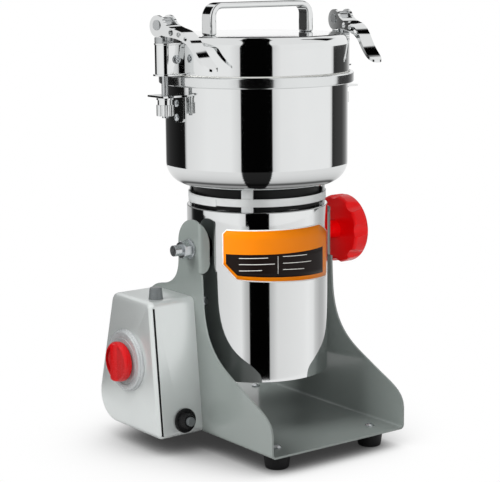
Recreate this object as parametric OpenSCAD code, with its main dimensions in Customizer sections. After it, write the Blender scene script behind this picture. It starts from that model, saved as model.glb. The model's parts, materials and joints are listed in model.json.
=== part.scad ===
// Grain mill with a tilting head: a sheet-metal cradle with a switch box carries a motor drum on
// two pivots, and the drum carries the grinding bowl, whose lid is held by two cam clamps.
// Millimetres, +Z up. The tray opens towards -Y, the switch box is on the -X side.
// Shapes are drawn about the drum's axis (x = y = 0) with the table at z = 0, and centred()
// then moves them so that the origin is the middle of the footprint.

/* [Cradle] */
// Gap between the drum and each cheek
cheek_gap = 9.2; // [8:0.1:14]
// Thickness of the bent sheet
sheet_t = 1.8; // [1.2:0.1:2.2]
// Inner radius of every bend in the sheet
bend_r = 2.2; // [1.5:0.1:3]
// Reach of the tray in front of the drum's axis
tray_front = 119; // [105:1:135]
// Reach of the tray behind the drum's axis
tray_rear = 98; // [92:1:115]
// Height of the tray's front corners
tray_lip_h = 36; // [28:1:40]
// Height of the pivot axis above the table
pivot_h = 182; // [178:0.5:190]
// Radius of the rounded top of each ear
ear_r = 22.5; // [20:0.5:26]
// Distance of the ear's folded front lip from the pivot axis
lip_front = 16.5; // [15:0.5:20]
// Width of the folded lip
lip_w = 9.7; // [6:0.1:10]
// Height of a rubber foot
foot_h = 15.8; // [12:0.1:20]
// Radius of a foot under the tray
foot_top_r = 12.8; // [11:0.1:15]
// Radius of a foot on the table
foot_low_r = 10.5; // [8:0.1:11]
// Distance of the feet from the tray's edges
foot_inset = 22.2; // [16:0.1:30]

/* [Screws] */
// Radius of the small screws
screw_r = 2; // [1.5:0.1:2.5]
// Radius of the screws in the bowl's brackets
bracket_screw_r = 1.6; // [1.2:0.1:2]

/* [Switch box] */
// Depth of the box away from the cheek
box_depth = 46; // [42:0.5:56]
// Wall of the box
box_wall = 1.5; // [1:0.1:2]
// Height of the box
box_h = 122.3; // [118:0.1:130]
// Height of the box's bottom above the table
box_low = 16.5; // [10:0.5:20]
// Front face at the bottom, in front of the drum's axis
box_front = 16.5; // [14:0.5:20]
// Length of the bottom from the front face to the rear face carried down
box_run = 109.7; // [105:0.1:115]
// Lean of the front face
box_front_lean = 5.6; // [0:0.1:8]
// Lean of the rear face
box_rear_lean = 15.3; // [8:0.1:18]
// Rounding of the outer panel's edges
box_edge_r = 4.5; // [2:0.1:5]
// Distance of the front seam from the outer panel
box_seam_x = 3.2; // [2.5:0.1:8]
// Width of the front seam
box_seam_w = 1.8; // [0.6:0.1:2.5]
// Large rounding of the lower rear corner
box_heel_r = 25; // [15:1:28]
// Width of the folded rim that is screwed to the cheek
box_rim = 12; // [11:0.5:14]

/* [Timer dial] */
// Radius of the raised dial plate
dial_r = 28.5; // [24:0.5:32]
// Thickness of the dial plate
dial_t = 4.5; // [3:0.1:6]
// Dial centre behind the drum's axis
dial_y = 36; // [32:0.5:42]
// Height of the dial centre
dial_z = 80; // [70:0.5:90]
// Radius of the timer knob
timer_knob_r = 18.2; // [16:0.1:21]
// Height of the timer knob's rim
timer_rim_h = 8; // [6:0.1:10]
// Height of the grip bar across the timer knob
timer_bar_h = 12.5; // [10:0.1:15]
// Radius of the timer's shaft
timer_shaft_r = 3; // [2.5:0.1:4]

/* [Buttons and gland] */
// Radius of the start button at its foot
start_r = 6.4; // [5:0.1:7.5]
// Height of the start button above the box
start_h = 10.4; // [8:0.1:12]
// Travel of the start button
start_travel = 3; // [1:0.1:4]
// Distance of the start button from the cheek
start_x = 30; // [18:0.5:34]
// Start button behind the drum's axis
start_y = 11; // [10:0.5:40]
// Radius of the breaker's round collar
breaker_r = 11; // [9:0.1:12]
// Thickness of the collar's flange
breaker_t = 2.8; // [2.5:0.1:4]
// Height of the collar's dome
breaker_dome_h = 8.6; // [6:0.1:10]
// Radius of the breaker's reset pin
breaker_pin_r = 4.1; // [2.5:0.1:4.5]
// Reach of the reset pin beyond the dome
breaker_pin_h = 3; // [2.6:0.1:6]
// Distance of the breaker from the cheek
breaker_x = 19; // [15:0.5:30]
// Height of the breaker above the box's bottom
breaker_up = 14; // [13:0.5:60]
// Radius of the cord gland's bore
gland_bore_r = 3.9; // [3:0.1:4.5]
// Reach of the cord gland behind the box
gland_out = 12; // [8:0.5:14]
// Height of the cord gland above the box's bottom
gland_up = 52; // [40:1:75]

/* [Pivots] */
// Radius of the pivot studs
stud_r = 5; // [4:0.1:6]
// Radius of the spacers between drum and cheek
spacer_r = 12; // [9:0.5:13.5]
// Thickness of the pivot washers
washer_t = 2; // [1:0.1:3]
// Radius of the pivot washers
washer_r = 9; // [8:0.1:12]
// Height of the pivot nut
pivot_nut_h = 8; // [6:0.1:10]
// Reach of the left stud beyond its nut
stud_tail = 8.2; // [4:0.1:12]
// Number of finger hollows round the tilt knob
flute_count = 8; // [6:1:9]
// Radius of the tilt knob's head
knob_head_r = 32.3; // [28:0.1:34]
// Radius of a finger hollow
flute_r = 9; // [7:0.5:11]
// Depth of a finger hollow at the back of the head
flute_depth = 3.4; // [1:0.1:4]
// Thickness of the tilt knob's head
star_t = 16; // [12:0.5:20]
// Length of the tilt knob's neck
star_neck = 14.5; // [8:0.5:18]

/* [Motor drum] */
// Outer radius of the drum
drum_r = 64.2; // [62:0.1:66]
// Wall of the drum
drum_wall = 1.2; // [0.8:0.1:1.6]
// Height of the drum
drum_h = 153.4; // [150:0.1:160]
// Distance from the pivot axis down to the drum's lower edge
drum_drop = 118.6; // [115:0.1:125]
// Number of air slots in the bottom cover
vent_count = 18; // [12:1:24]

/* [Neck] */
// Gap between drum and bowl
neck_h = 19.2; // [16:0.1:24]
// Distance of the neck ring inside the drum's wall
neck_in = 1.4; // [0:0.1:6]
// Width of the neck ring's band
neck_band = 6.9; // [5:0.1:9]
// Thickness of the neck's flat bars
neck_t = 1.2; // [1:0.1:1.8]
// Width of an upright strap
strap_w = 10.7; // [8:0.1:14]

/* [Bowl] */
// Outer radius of the bowl
bowl_r = 82.5; // [80:0.5:86]
// Wall of the bowl
bowl_wall = 1.2; // [0.8:0.1:2]
// Height of the bowl
bowl_h = 100.2; // [95:0.1:120]
// Rounding between the bowl's wall and bottom
bowl_corner = 20; // [14:0.5:22]
// Width of the rim band around the mouth
rim_w = 5.4; // [3:0.1:6]
// Height of the rim band
rim_h = 9.4; // [7:0.1:11]

/* [Lid] */
// Overlap of the lid beyond the bowl's wall
lid_lap = 1.3; // [1:0.1:3]
// Wall of the lid
lid_wall = 1.2; // [0.8:0.1:1.6]
// Height of the lid
lid_h = 33; // [30:0.5:40]
// Rounding of the lid's top edge
lid_corner = 9; // [5:0.5:12]
// Thickness of the sealing ring's flange
seal_t = 0.8; // [0.6:0.1:1.5]
// Length of the handle
handle_len = 115; // [100:1:125]
// Offset of the handle's middle towards the tilt knob
handle_x = 2.9; // [0:0.1:4]
// Height of the handle above the lid
handle_h = 28.3; // [25:0.1:34]
// Depth of the handle's flat bar
handle_w = 15; // [12:0.5:20]
// Thickness of the handle's legs
handle_leg_t = 6.5; // [5:0.1:8]
// Thickness of the handle's top
handle_top_t = 5; // [4:0.1:6]
// Outer rounding of the handle
handle_r = 13; // [10:0.5:15]

/* [Clamps] */
// Distance of the draw bolts from the bowl's wall
clamp_out = 16.6; // [16:0.1:20]
// Radius of a draw bolt
bolt_r = 2.8; // [2.3:0.1:3.2]
// Outer radius of the lug's round nose
lug_nose = 8.2; // [7.8:0.1:9.5]
// Thickness of the lug's sheet
lug_t = 1.5; // [1:0.1:1.8]
// Height of the lug over its flanges
lug_h = 28.2; // [26:0.1:32]
// Overhang of the lug's lower flange
lug_overhang = 1.7; // [0.5:0.1:2]
// Overhang of the lug's upper rim
lug_rim = 0.5; // [0.2:0.1:1]
// Height of the saddle under the cams
saddle_h = 4.9; // [3:0.1:6]
// Radius of the cam
cam_r = 9.3; // [8.6:0.1:10]
// Offset of the cam from its pin
cam_offset = 1; // [0.5:0.05:1.2]
// Width of the lever at its fork
fork_w = 16; // [15:0.1:17]
// Width of the lever at its waist
waist_w = 12.2; // [11.4:0.1:13]
// Width of the lever at its tip
tip_w = 13.4; // [11.4:0.1:15]
// Thickness of the lever's two cheeks
lever_t = 2.5; // [1.8:0.1:3]
// Reach of the lever from its pin
lever_reach = 64; // [60:0.5:70]
// Drop of the lever's tip below its pin
lever_drop = 35.8; // [33:0.1:39]
// Lean of the levers towards the lid
lever_lean = 8; // [0:0.5:10]
// Radius of an adjusting nut over its flutes
nut_r = 7.6; // [6.5:0.1:8.5]
// Height of an adjusting nut
nut_h = 15.6; // [13:0.1:20]
// Height of the nut's fluted grip
grip_h = 9.6; // [6:0.1:10.5]
// Width of a bowl bracket's wall plate
bracket_w = 22; // [18:0.5:26]
// Width of the bracket's shelf on the slot's open side
bracket_open = 9; // [7:0.1:12]
// Width of the bracket's shelf on its closed side
bracket_shut = 16; // [12:0.1:20]
// Reach of the bracket's shelf beyond the draw bolt
bracket_out = 7.5; // [5:0.5:9]
// Thickness of a bowl bracket
bracket_t = 1.6; // [1.2:0.1:2.5]
// Depth of the bracket's shelf below the bowl's mouth
bracket_drop = 16.4; // [12:0.1:25]
// Height of a bowl bracket
bracket_h = 24.1; // [22:0.1:32]

/* [Rotor and motor] */
// Radius of the motor shaft in its bearings
shaft_r = 6; // [5:0.1:7]
// Radius of the shaft in the bowl
spindle_r = 5; // [4:0.1:5.5]
// Outer radius of a ball bearing
bearing_r = 14; // [12:0.1:16]
// Height of a ball bearing
bearing_h = 8; // [6:0.1:10]
// Radius of the armature
armature_r = 27.8; // [25:0.1:30]
// Height of the laminated cores
core_h = 44; // [38:1:48]
// Depth of the cores below the drum's top
core_drop = 44.8; // [44:0.1:48]
// Height under the cores for the commutator and brushes
brush_room = 28; // [27:0.5:30]
// Number of armature slots
slot_count = 12; // [8:1:14]
// Outer radius of the stator
stator_r = 47.5; // [46:0.1:50]
// Air gap between armature and stator
air_gap = 0.6; // [0.4:0.1:1]
// Radius of the commutator
commutator_r = 13; // [11:0.1:15]
// Radius of the cooling fan
fan_r = 36; // [30:0.5:37]
// Number of fan vanes
vane_count = 9; // [7:1:13]
// Radius swept by the blades
blade_reach = 68; // [55:1:74]
// Width of a blade
blade_w = 18; // [14:0.5:22]
// Thickness of a blade
blade_t = 2.5; // [2:0.1:3.5]
// Height between two blades
blade_step = 13; // [10:0.5:15]

/* [Hidden] */
$fn = 72;

// clearances
gap = 0.3;
run_gap = 0.05;
hole_gap = 0.1;
over = 1;

// heights, from the table up
floor_z = foot_h;
drum_low = pivot_h - drum_drop;
drum_top = drum_low + drum_h;
bowl_low = drum_top + neck_h;
bowl_top = bowl_low + bowl_h;
lid_low = bowl_top + seal_t;
lid_top = lid_low + lid_h;
handle_top = lid_top + handle_h;

// sheet and bends
bend_out = bend_r + sheet_t;
cheek_in = drum_r + cheek_gap;
cheek_half = cheek_in + sheet_t;
foot_x = cheek_half - foot_inset;
foot_front = tray_front - foot_inset;
foot_rear = tray_rear - foot_inset;
neck_r = drum_r - neck_in;
lid_r = bowl_r + lid_lap;
clamp_x = bowl_r + clamp_out;
lip_low = pivot_h - 20.5;
ear_y = -4;
ear_z = pivot_h + 4;

// switch box: the side outline has a leaning front and rear
box_top = box_low + box_h;
box_face = cheek_half + box_depth;
box_corner_r = 6;
box_toe_r = 5;

// timer dial and knob, stacked outwards from the box
dial_face = box_face + dial_t;
timer_back = dial_face + gap;
timer_front = timer_back + timer_bar_h;

// tilt knob, stacked outwards from the right cheek
star_back = cheek_half + washer_t;
star_low = star_back + star_neck;
star_face = star_low + star_t;

// bowl, hub and blades
bowl_floor = bowl_low + bowl_wall;
hub_r = 15;
hub_flange_r = 30;
hub_low = bowl_low - 13;
hub_top = bowl_floor + 4;
blade_low = hub_top + 2;
blade_top = blade_low + 2 * (blade_step + blade_t) + blade_t;
spindle_top = blade_top + 12;

// clamp heights
lug_low = lid_low;
lug_top = lug_low + lug_h;
saddle_top = lug_top + saddle_h;
pin_z = saddle_top + gap + cam_r + cam_offset;
pin_r = 3;
eye_r = 6.5;
fork_gap = fork_w - 2 * lever_t;
eye_w = fork_gap - 2 * gap;
shelf_top = bowl_top - bracket_drop;
nut_top = shelf_top - bracket_t - gap;
bolt_low = nut_top - nut_h - 1.9;
cross_x = clamp_x - lug_nose + 1;
cross_z = (lug_low + lug_top) / 2;

// motor
bracket_top = drum_top - drum_wall;
top_plate_t = 4;
core_top = drum_top - core_drop;
core_low = core_top - core_h;
post_r = 4.2;
tie_r = stator_r - post_r - gap;
window_out = tie_r - post_r - 1;
window_in = bearing_r + 6;
tie_bolt_r = 2;
lower_plate = core_low - brush_room;
lower_plate_t = 6;
coil_over = 10;
yoke_in = stator_r - 8.5;
shoe_out = armature_r + air_gap + 3;
neck_half = 13;
com_low = lower_plate + lower_plate_t + 2.5;
com_h = 11;

// middle of the footprint
left_reach = timer_front;
mid_x = (star_face - left_reach) / 2;
mid_y = (tray_rear - tray_front) / 2;

// ---------------------------------------------------------------- helpers

function bezier(p, n) = [
    for (i = [0:n])
        let (t = i / n, u = 1 - t)
        u * u * u * p[0] + 3 * u * u * t * p[1] + 3 * u * t * t * p[2] + t * t * t * p[3]
];
function arc_points(c, r, a0, a1, n) = [
    for (i = [0:n]) let (a = a0 + (a1 - a0) * i / n) c + r * [cos(a), sin(a)]
];
function shifted(p, d) = [for (q = p) q + d];

module centred() {
    translate([-mid_x, -mid_y, 0]) children();
}

// tube or ring about the z axis
module tube(ro, ri, z0, z1) {
    difference() {
        translate([0, 0, z0]) cylinder(r = ro, h = z1 - z0);
        translate([0, 0, z0 - over]) cylinder(r = ri, h = z1 - z0 + 2 * over);
    }
}

// rod along x
module rod_x(x0, x1, y, z, r) {
    translate([x0, y, z]) rotate([0, 90, 0]) cylinder(r = r, h = x1 - x0);
}

// outline in y and z, given thickness along x from x0
module side_plate(x0, t) {
    translate([x0, 0, 0]) rotate([90, 0, 90]) linear_extrude(t) children();
}

// outline in x and z, given thickness along y from y0
module front_plate(y0, t) {
    translate([0, y0 + t, 0]) rotate([90, 0, 0]) linear_extrude(t) children();
}

// cup outline for a revolve: flat bottom at z0, round corner, wall up to z1
module cup_profile(r, z0, z1, corner) {
    translate([0, z0]) square([r - corner, z1 - z0]);
    translate([0, z0 + corner]) square([r, z1 - z0 - corner]);
    intersection() {
        translate([r - corner, z0 + corner]) circle(r = corner);
        translate([0, z0]) square([r, z1 - z0]);
    }
}

// bar section with rounded edges for a revolve
module soft_band(r0, r1, z0, z1, edge) {
    translate([r0, z0 + edge]) square([r1 - r0, z1 - z0 - 2 * edge]);
    translate([r0, z0]) square([r1 - r0 - edge, z1 - z0]);
    for (z = [z0 + edge, z1 - edge]) translate([r1 - edge, z]) circle(r = edge, $fn = 32);
}

// sector of a ring about z
module ring_sector(ro, ri, z0, z1, mid, half) {
    rotate([0, 0, mid - half]) rotate_extrude(angle = 2 * half)
        translate([ri, z0]) square([ro - ri, z1 - z0]);
}

// cross-head screw along +z with its head above z = 0
function head_r(r) = 1.9 * r;
function head_h(r) = 1.1 * r;
module dome_screw(len, r = screw_r) {
    dome = 1.6 * head_r(r);
    translate([0, 0, -len]) cylinder(r = r, h = len);
    difference() {
        intersection() {
            cylinder(r = head_r(r), h = head_h(r));
            translate([0, 0, head_h(r) - dome]) sphere(r = dome);
        }
        for (a = [0, 90])
            rotate([0, 0, a]) translate([-head_r(r) / 2, -r / 5, head_h(r) / 2])
                cube([head_r(r), 0.4 * r, head_h(r)]);
    }
}

// ---------------------------------------------------------------- cradle

// cheek outline in y and z, above the bend along its lower edge
function cheek_points() = concat(
    [[-tray_front, floor_z + bend_out], [tray_rear, floor_z + bend_out]],
    bezier([[tray_rear, 40], [tray_rear - 1, 62], [90, 76], [84, 100]], 8),
    bezier([[84, 100], [78, 125], [66, 141], [48, 143.5]], 10),
    bezier([[48, 143.5], [27, 146], [ear_y + ear_r, 155], [ear_y + ear_r, 172]], 10),
    arc_points([ear_y, ear_z], ear_r, 0, acos((bend_out - lip_front - ear_y) / ear_r), 24),
    [[bend_out - lip_front, lip_low], [-lip_front - 0.5, lip_low - 1]],
    bezier([[-18, 140], [-19.5, 88], [-50, 81], [-80, 66]], 16),
    bezier([[-80, 66], [-100, 56], [1 - tray_front, 52], [-tray_front, tray_lip_h]], 8)
);

// quarter bend between two sheets, along +z, with its axis at the origin
module quarter_bend(len) {
    rotate([0, 0, 180]) rotate_extrude(angle = 90) translate([bend_r, 0]) square([sheet_t, len]);
}

// lip outline seen from the front, measured inwards from the cheek's outer face
function lip_points() = concat(
    [[-cheek_half, lip_low]],
    bezier([[3 - cheek_half, lip_low], [7 - cheek_half, lip_low + 1],
            [lip_w - cheek_half, lip_low + 4], [lip_w - cheek_half, lip_low + 9]], 6),
    bezier([[lip_w - cheek_half, ear_z + 1], [lip_w - cheek_half, ear_z + 10],
            [4 - cheek_half, ear_z + 18], [-cheek_half, ear_z + 20.8]], 10)
);

// left cheek with its folded lip
module cheek() {
    side_plate(-cheek_half, sheet_t) polygon(cheek_points());
    intersection() {
        translate([-cheek_half + bend_out, bend_out - lip_front, lip_low]) {
            quarter_bend(60);
            translate([0, -bend_out, 0]) cube([lip_w, sheet_t, 60]);
        }
        front_plate(-lip_front - over, bend_out + 2 * over) polygon(lip_points());
    }
    translate([-cheek_half + bend_out, tray_rear, floor_z + bend_out])
        rotate([90, 0, 0]) quarter_bend(tray_front + tray_rear);
}

module foot_places() {
    for (x = [-foot_x, foot_x], y = [-foot_front, foot_rear]) translate([x, y, 0]) children();
}

// places of the screws that hold the switch box: in the middle of its folded rim
function box_screw_points() = [
    for (c = box_corners(box_rim / 2)) [c[0], c[1]]
];

module base_cradle() {
    color("#7f8682") centred() difference() {
        union() {
            cheek();
            mirror([1, 0, 0]) cheek();
            translate([-cheek_half + bend_out, -tray_front, floor_z])
                cube([2 * (cheek_half - bend_out), tray_front + tray_rear, sheet_t]);
        }
        rod_x(-cheek_half - over, cheek_half + over, 0, pivot_h, stud_r + run_gap);
        foot_places() translate([0, 0, floor_z - over])
            cylinder(r = screw_r + hole_gap, h = sheet_t + 2 * over);
        for (p = box_screw_points())
            rod_x(-cheek_half - over, -cheek_in + over, p[0], p[1], screw_r + hole_gap);
    }
}

module rubber_feet() {
    color("#1b1b1c") centred() foot_places() difference() {
        rotate_extrude() polygon([
            [screw_r + hole_gap, 0], [foot_low_r - 1, 0], [foot_low_r, 1],
            [foot_top_r - 0.6, foot_h - 2], [foot_top_r, foot_h], [screw_r + hole_gap, foot_h]
        ]);
        translate([0, 0, -over]) cylinder(r = head_r(screw_r) + 1, h = over + foot_h / 3);
    }
}

module base_screws() {
    color("#c9cbcc") centred() {
        foot_places() translate([0, 0, floor_z + sheet_t]) dome_screw(foot_h / 2 + sheet_t);
        for (p = box_screw_points())
            translate([-cheek_in, p[0], p[1]]) rotate([0, 90, 0])
                dome_screw(sheet_t + box_wall + 2);
    }
}

// ---------------------------------------------------------------- switch box

function box_front_y(z) = -box_front + (z - box_low) * tan(box_front_lean);
function box_rear_y(z) = box_run - box_front - (z - box_low) * tan(box_rear_lean);

// one corner of the outline, moved in by d: [y, z, radius]
function box_corner(front, top, r, d) =
    let (q = max(r - d, 1), z = top ? box_top - d - q : box_low + d + q)
    front ? [box_front_y(z) + (d + q) / cos(box_front_lean), z, q]
          : [box_rear_y(z) - (d + q) / cos(box_rear_lean), z, q];
function box_corners(d) = [
    box_corner(true, true, box_corner_r, d), box_corner(false, true, box_corner_r + 2, d),
    box_corner(false, false, box_heel_r, d), box_corner(true, false, box_toe_r, d)
];

// solid with the box's outline moved in by d, between two distances from the middle plane,
// with the outer edges rounded over edge
module box_form(d, x0, x1, edge) {
    hull() for (c = box_corners(d), a = [0:30:90])
        rod_x(-x1 + edge * (1 - sin(a)), -x0, c[0], c[1],
              max(c[2] - edge * (1 - cos(a)), 0.2), $fn = 32);
}

// frame on the front face, with +z pointing out of it
module on_box_front(x, up) {
    z = box_low + up;
    translate([-cheek_half - x, box_front_y(z), z]) rotate([90 - box_front_lean, 0, 0]) children();
}

// frame on the rear face, with +z pointing out of it
module on_box_rear(x, up) {
    z = box_low + up;
    translate([-cheek_half - x, box_rear_y(z), z]) rotate([box_rear_lean - 90, 0, 0]) children();
}

module on_box_top() {
    translate([-cheek_half - start_x, start_y, box_top]) children();
}

gland_x = box_depth / 2;
breaker_barrel_r = breaker_r - 4;
gland_neck_r = gland_bore_r + 3.4;

module switch_box() {
    rim = box_rim;
    color("#b9bcbd") centred() difference() {
        box_form(0, cheek_half, box_face, box_edge_r);
        box_form(box_wall, cheek_half + box_wall, box_face - box_wall, box_edge_r - box_wall);
        box_form(rim, cheek_half - over, cheek_half + 2 * box_wall, 0);
        for (p = box_screw_points())
            rod_x(-cheek_half - box_wall - over, -cheek_half + over, p[0], p[1],
                  screw_r + hole_gap);
        rod_x(-box_face - over, -box_face + box_wall + over, dial_y, dial_z,
              timer_shaft_r + 1.5);
        on_box_top() translate([0, 0, -box_wall - over])
            cylinder(r = start_r + gap, h = box_wall + 2 * over);
        on_box_front(breaker_x, breaker_up) translate([0, 0, -box_wall - over])
            cylinder(r = breaker_barrel_r + hole_gap, h = box_wall + 2 * over);
        on_box_rear(gland_x, gland_up) translate([0, 0, -box_wall - over])
            cylinder(r = gland_neck_r + hole_gap, h = box_wall + 2 * over);
        // seam along the front face where the outer panel is folded round
        on_box_front(box_depth - box_seam_x, 0)
            translate([-box_seam_w / 2, 4, -1]) cube([box_seam_w, box_h - 4 - box_edge_r, 3]);
    }
}

module dial_plate() {
    color("#c3c6c7") centred() translate([-box_face, dial_y, dial_z]) rotate([0, -90, 0])
        rotate_extrude() difference() {
            union() {
                soft_band(0, dial_r - 1.2, 0, dial_t, 1.6);
                polygon([[0, 0], [dial_r, 0], [dial_r - 0.4, dial_t / 3],
                         [dial_r - 1.2, dial_t / 2], [0, dial_t / 2]]);
            }
            translate([-dial_r, -over]) square([dial_r + timer_shaft_r + 1, dial_t + 2 * over]);
            translate([timer_knob_r + 2.5, dial_t - 0.4]) square([0.8, 1]);
        }
}

module timer_switch() {
    body_h = 16;
    color("#2a2c2e") centred() translate([-box_face + box_wall, dial_y, dial_z])
        rotate([0, 90, 0]) difference() {
            union() {
                translate([-16, -22, 0]) cube([32, 44, 2]);
                cylinder(r = 15, h = body_h);
                for (y = [-8, 0, 8]) translate([-3, y - 0.4, body_h]) cube([6, 0.8, 7]);
            }
            translate([0, 0, -over]) cylinder(r = timer_shaft_r + run_gap, h = body_h - 2 + over);
        }
}

module timer_shaft() {
    flat = timer_shaft_r - 0.8;
    color("#b8babc") centred() difference() {
        rod_x(-timer_back - timer_rim_h + 1.5, -box_face + box_wall + 12, dial_y, dial_z,
              timer_shaft_r);
        translate([-timer_back - timer_rim_h, dial_y + flat, dial_z - timer_shaft_r])
            cube([timer_rim_h, timer_shaft_r, 2 * timer_shaft_r]);
    }
}

// finger scoops on both sides of the timer knob's crest
module timer_scoops() {
    scoop_r = 10;
    crest_half = 1.1;
    scoop_z = timer_bar_h + 2.5;
    reach = sqrt(scoop_r * scoop_r - 2.5 * 2.5) + crest_half;
    for (y = [-reach, reach])
        rod_x(-timer_knob_r - 1, timer_knob_r + 1, y, scoop_z, scoop_r);
}

module timer_knob() {
    bar_half = 4;
    rim_t = 3;
    color("#d8111c") centred() translate([-timer_back, dial_y, dial_z]) rotate([0, -90, 0])
        difference() {
            union() {
                difference() {
                    rotate_extrude() soft_band(0, timer_knob_r, 0, timer_rim_h, 3);
                    intersection() {
                        cylinder(r = timer_knob_r - rim_t, h = 2 * timer_rim_h);
                        timer_scoops();
                    }
                }
                difference() {
                    intersection() {
                        translate([0, 0, timer_bar_h / 2 + 0.1])
                            cube([2 * timer_knob_r, 2 * bar_half, timer_bar_h + 0.4], center = true);
                        rotate_extrude() soft_band(0, timer_knob_r - 1, 0.2, timer_bar_h, 4);
                    }
                    timer_scoops();
                }
            }
            translate([0, 0, -over])
                cylinder(r = timer_shaft_r + run_gap, h = timer_rim_h - 1.5 + over);
        }
}

// button: a tapered cap whose skirt dips into the switch below
start_skirt = start_travel + 1.5;

module start_button() {
    cap_r = start_r - 0.9;
    color("#8b9092") centred() on_box_top() {
        rotate_extrude() polygon([
            [0, -box_wall - start_skirt], [start_r, -box_wall - start_skirt],
            [start_r, 0], [cap_r, start_h - 0.8], [cap_r - 0.8, start_h], [0, start_h]
        ]);
        translate([0, 0, -box_wall - start_skirt - 8]) cylinder(r = 2, h = 9);
    }
}

module push_switch() {
    cup_r = start_r + 2.6;
    floor_low = start_skirt + start_travel + 2;
    color("#26282a") centred() on_box_top() difference() {
        union() {
            translate([0, 0, -box_wall - floor_low]) cylinder(r = cup_r, h = floor_low);
            translate([-6, -8, -box_wall - floor_low - 13]) cube([12, 16, 13.5]);
        }
        translate([0, 0, -box_wall - start_skirt - start_travel - gap])
            cylinder(r = start_r + gap, h = floor_low + over);
        translate([0, 0, -box_wall - start_skirt - start_travel - 9])
            cylinder(r = 2 + gap, h = 12);
    }
}

module breaker_collar() {
    bore = breaker_pin_r + gap;
    color("#101112") centred() on_box_front(breaker_x, breaker_up) difference() {
        union() {
            rotate_extrude() soft_band(0, breaker_r, 0, breaker_t, 1.2);
            cylinder(r1 = breaker_r - 2, r2 = bore + 1.2, h = breaker_dome_h);
        }
        translate([0, 0, -over]) cylinder(r = bore, h = breaker_dome_h + 2 * over);
    }
}

breaker_travel = 2.5;

module breaker_body() {
    color("#1c1d1f") centred() on_box_front(breaker_x, breaker_up) difference() {
        union() {
            translate([0, 0, -box_wall - 3]) cylinder(r = breaker_barrel_r, h = box_wall + 3);
            translate([-7, -7, -box_wall - 22]) cube([14, 14, 20]);
        }
        translate([0, 0, -box_wall - breaker_travel - 6.5])
            cylinder(r = breaker_pin_r + gap, h = 20);
    }
}

module breaker_pin() {
    color("#9a9fa1") centred() on_box_front(breaker_x, breaker_up)
        translate([0, 0, -box_wall - 6])
            rotate_extrude() soft_band(0, breaker_pin_r, 0,
                box_wall + 6 + breaker_dome_h + breaker_pin_h, 0.7);
}

module cord_gland() {
    nut_half = gland_neck_r + 3;
    color("#141516") centred() on_box_rear(gland_x, gland_up) difference() {
        union() {
            translate([0, 0, -box_wall - 7]) cylinder(r = gland_neck_r, h = box_wall + 8);
            translate([0, 0, -box_wall - gap - 5]) cylinder(r = nut_half, h = 5, $fn = 6);
            cylinder(r = nut_half, h = 4, $fn = 6);
            translate([0, 0, 4]) cylinder(r1 = gland_neck_r + 1, r2 = gland_neck_r - 1,
                                          h = gland_out - 4);
        }
        translate([0, 0, -box_wall - 8])
            cylinder(r = gland_bore_r, h = box_wall + gland_out + 9);
    }
}

// ---------------------------------------------------------------- pivots

// both pivots: the drum's wall is crossed on the x axis at pivot height
module pivot_spacers() {
    color("#3a3d3e") centred() difference() {
        union() for (s = [-1, 1])
            rod_x(s > 0 ? 0 : -cheek_in, s > 0 ? cheek_in : 0, 0, pivot_h, spacer_r);
        translate([0, 0, drum_low - over]) cylinder(r = drum_r, h = drum_h + 2 * over);
        rod_x(-cheek_half, cheek_half, 0, pivot_h, stud_r + run_gap);
    }
}

stud_in = drum_r - drum_wall - 1.8;
left_nut = cheek_half + washer_t;

module pivot_studs() {
    head = 5;
    color("#c4c7c9") centred() {
        rod_x(-left_nut - pivot_nut_h - stud_tail, -stud_in, 0, pivot_h, stud_r);
        rod_x(stud_in, star_low + 6, 0, pivot_h, stud_r);
        rod_x(-stud_in, -stud_in + head, 0, pivot_h, stud_r + 3.6, $fn = 6);
        rod_x(stud_in - head, stud_in, 0, pivot_h, stud_r + 3.6, $fn = 6);
    }
}

module pivot_washers() {
    color("#cfd2d3") centred() difference() {
        union() {
            rod_x(-left_nut, -cheek_half, 0, pivot_h, washer_r);
            rod_x(cheek_half, star_back, 0, pivot_h, washer_r + 2);
        }
        rod_x(-left_nut - over, star_back + over, 0, pivot_h, stud_r + run_gap);
    }
}

module pivot_nut() {
    across = washer_r - 0.6;
    color("#c4c7c9") centred() difference() {
        intersection() {
            rod_x(-left_nut - pivot_nut_h, -left_nut, 0, pivot_h, across, $fn = 6);
            translate([-left_nut, 0, pivot_h]) rotate([0, -90, 0])
                rotate_extrude() soft_band(0, across - 0.2, -over, pivot_nut_h, 1);
        }
        rod_x(-left_nut - pivot_nut_h - over, -left_nut + over, 0, pivot_h, stud_r + run_gap);
    }
}

module tilt_knob() {
    bore = star_neck + 6 + gap;
    hub = 9;
    color("#d40d18") centred() translate([star_back, 0, pivot_h]) rotate([0, 90, 0])
        difference() {
            union() {
                cylinder(r1 = hub - 1, r2 = hub, h = star_neck + 1);
                translate([0, 0, star_neck])
                    rotate_extrude() soft_band(0, knob_head_r, 0, star_t, 3);
            }
            // finger hollows run out towards the outer face
            for (i = [0:flute_count - 1])
                rotate([0, 0, 360 * i / flute_count + 42])
                    translate([knob_head_r + flute_r - flute_depth, 0, star_neck])
                        rotate([0, atan(flute_depth / star_t), 0])
                            translate([0, 0, -4]) cylinder(r = flute_r, h = star_t + 8);
            translate([0, 0, -over]) cylinder(r = stud_r + run_gap, h = bore + over);
            translate([0, 0, star_neck + star_t - 2.5]) difference() {
                cylinder(r1 = 17, r2 = 20, h = 3);
                cylinder(r1 = 8, r2 = 6.5, h = 3);
            }
        }
}

// ---------------------------------------------------------------- motor drum

cover_z = drum_low + 2.8;
cover_t = 2;
tab_t = 2;
tab_r = drum_r - drum_wall - 6;

module cover_places() {
    for (a = [30, 150, 270]) rotate([0, 0, a]) translate([tab_r, 0, 0]) children();
}

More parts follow.
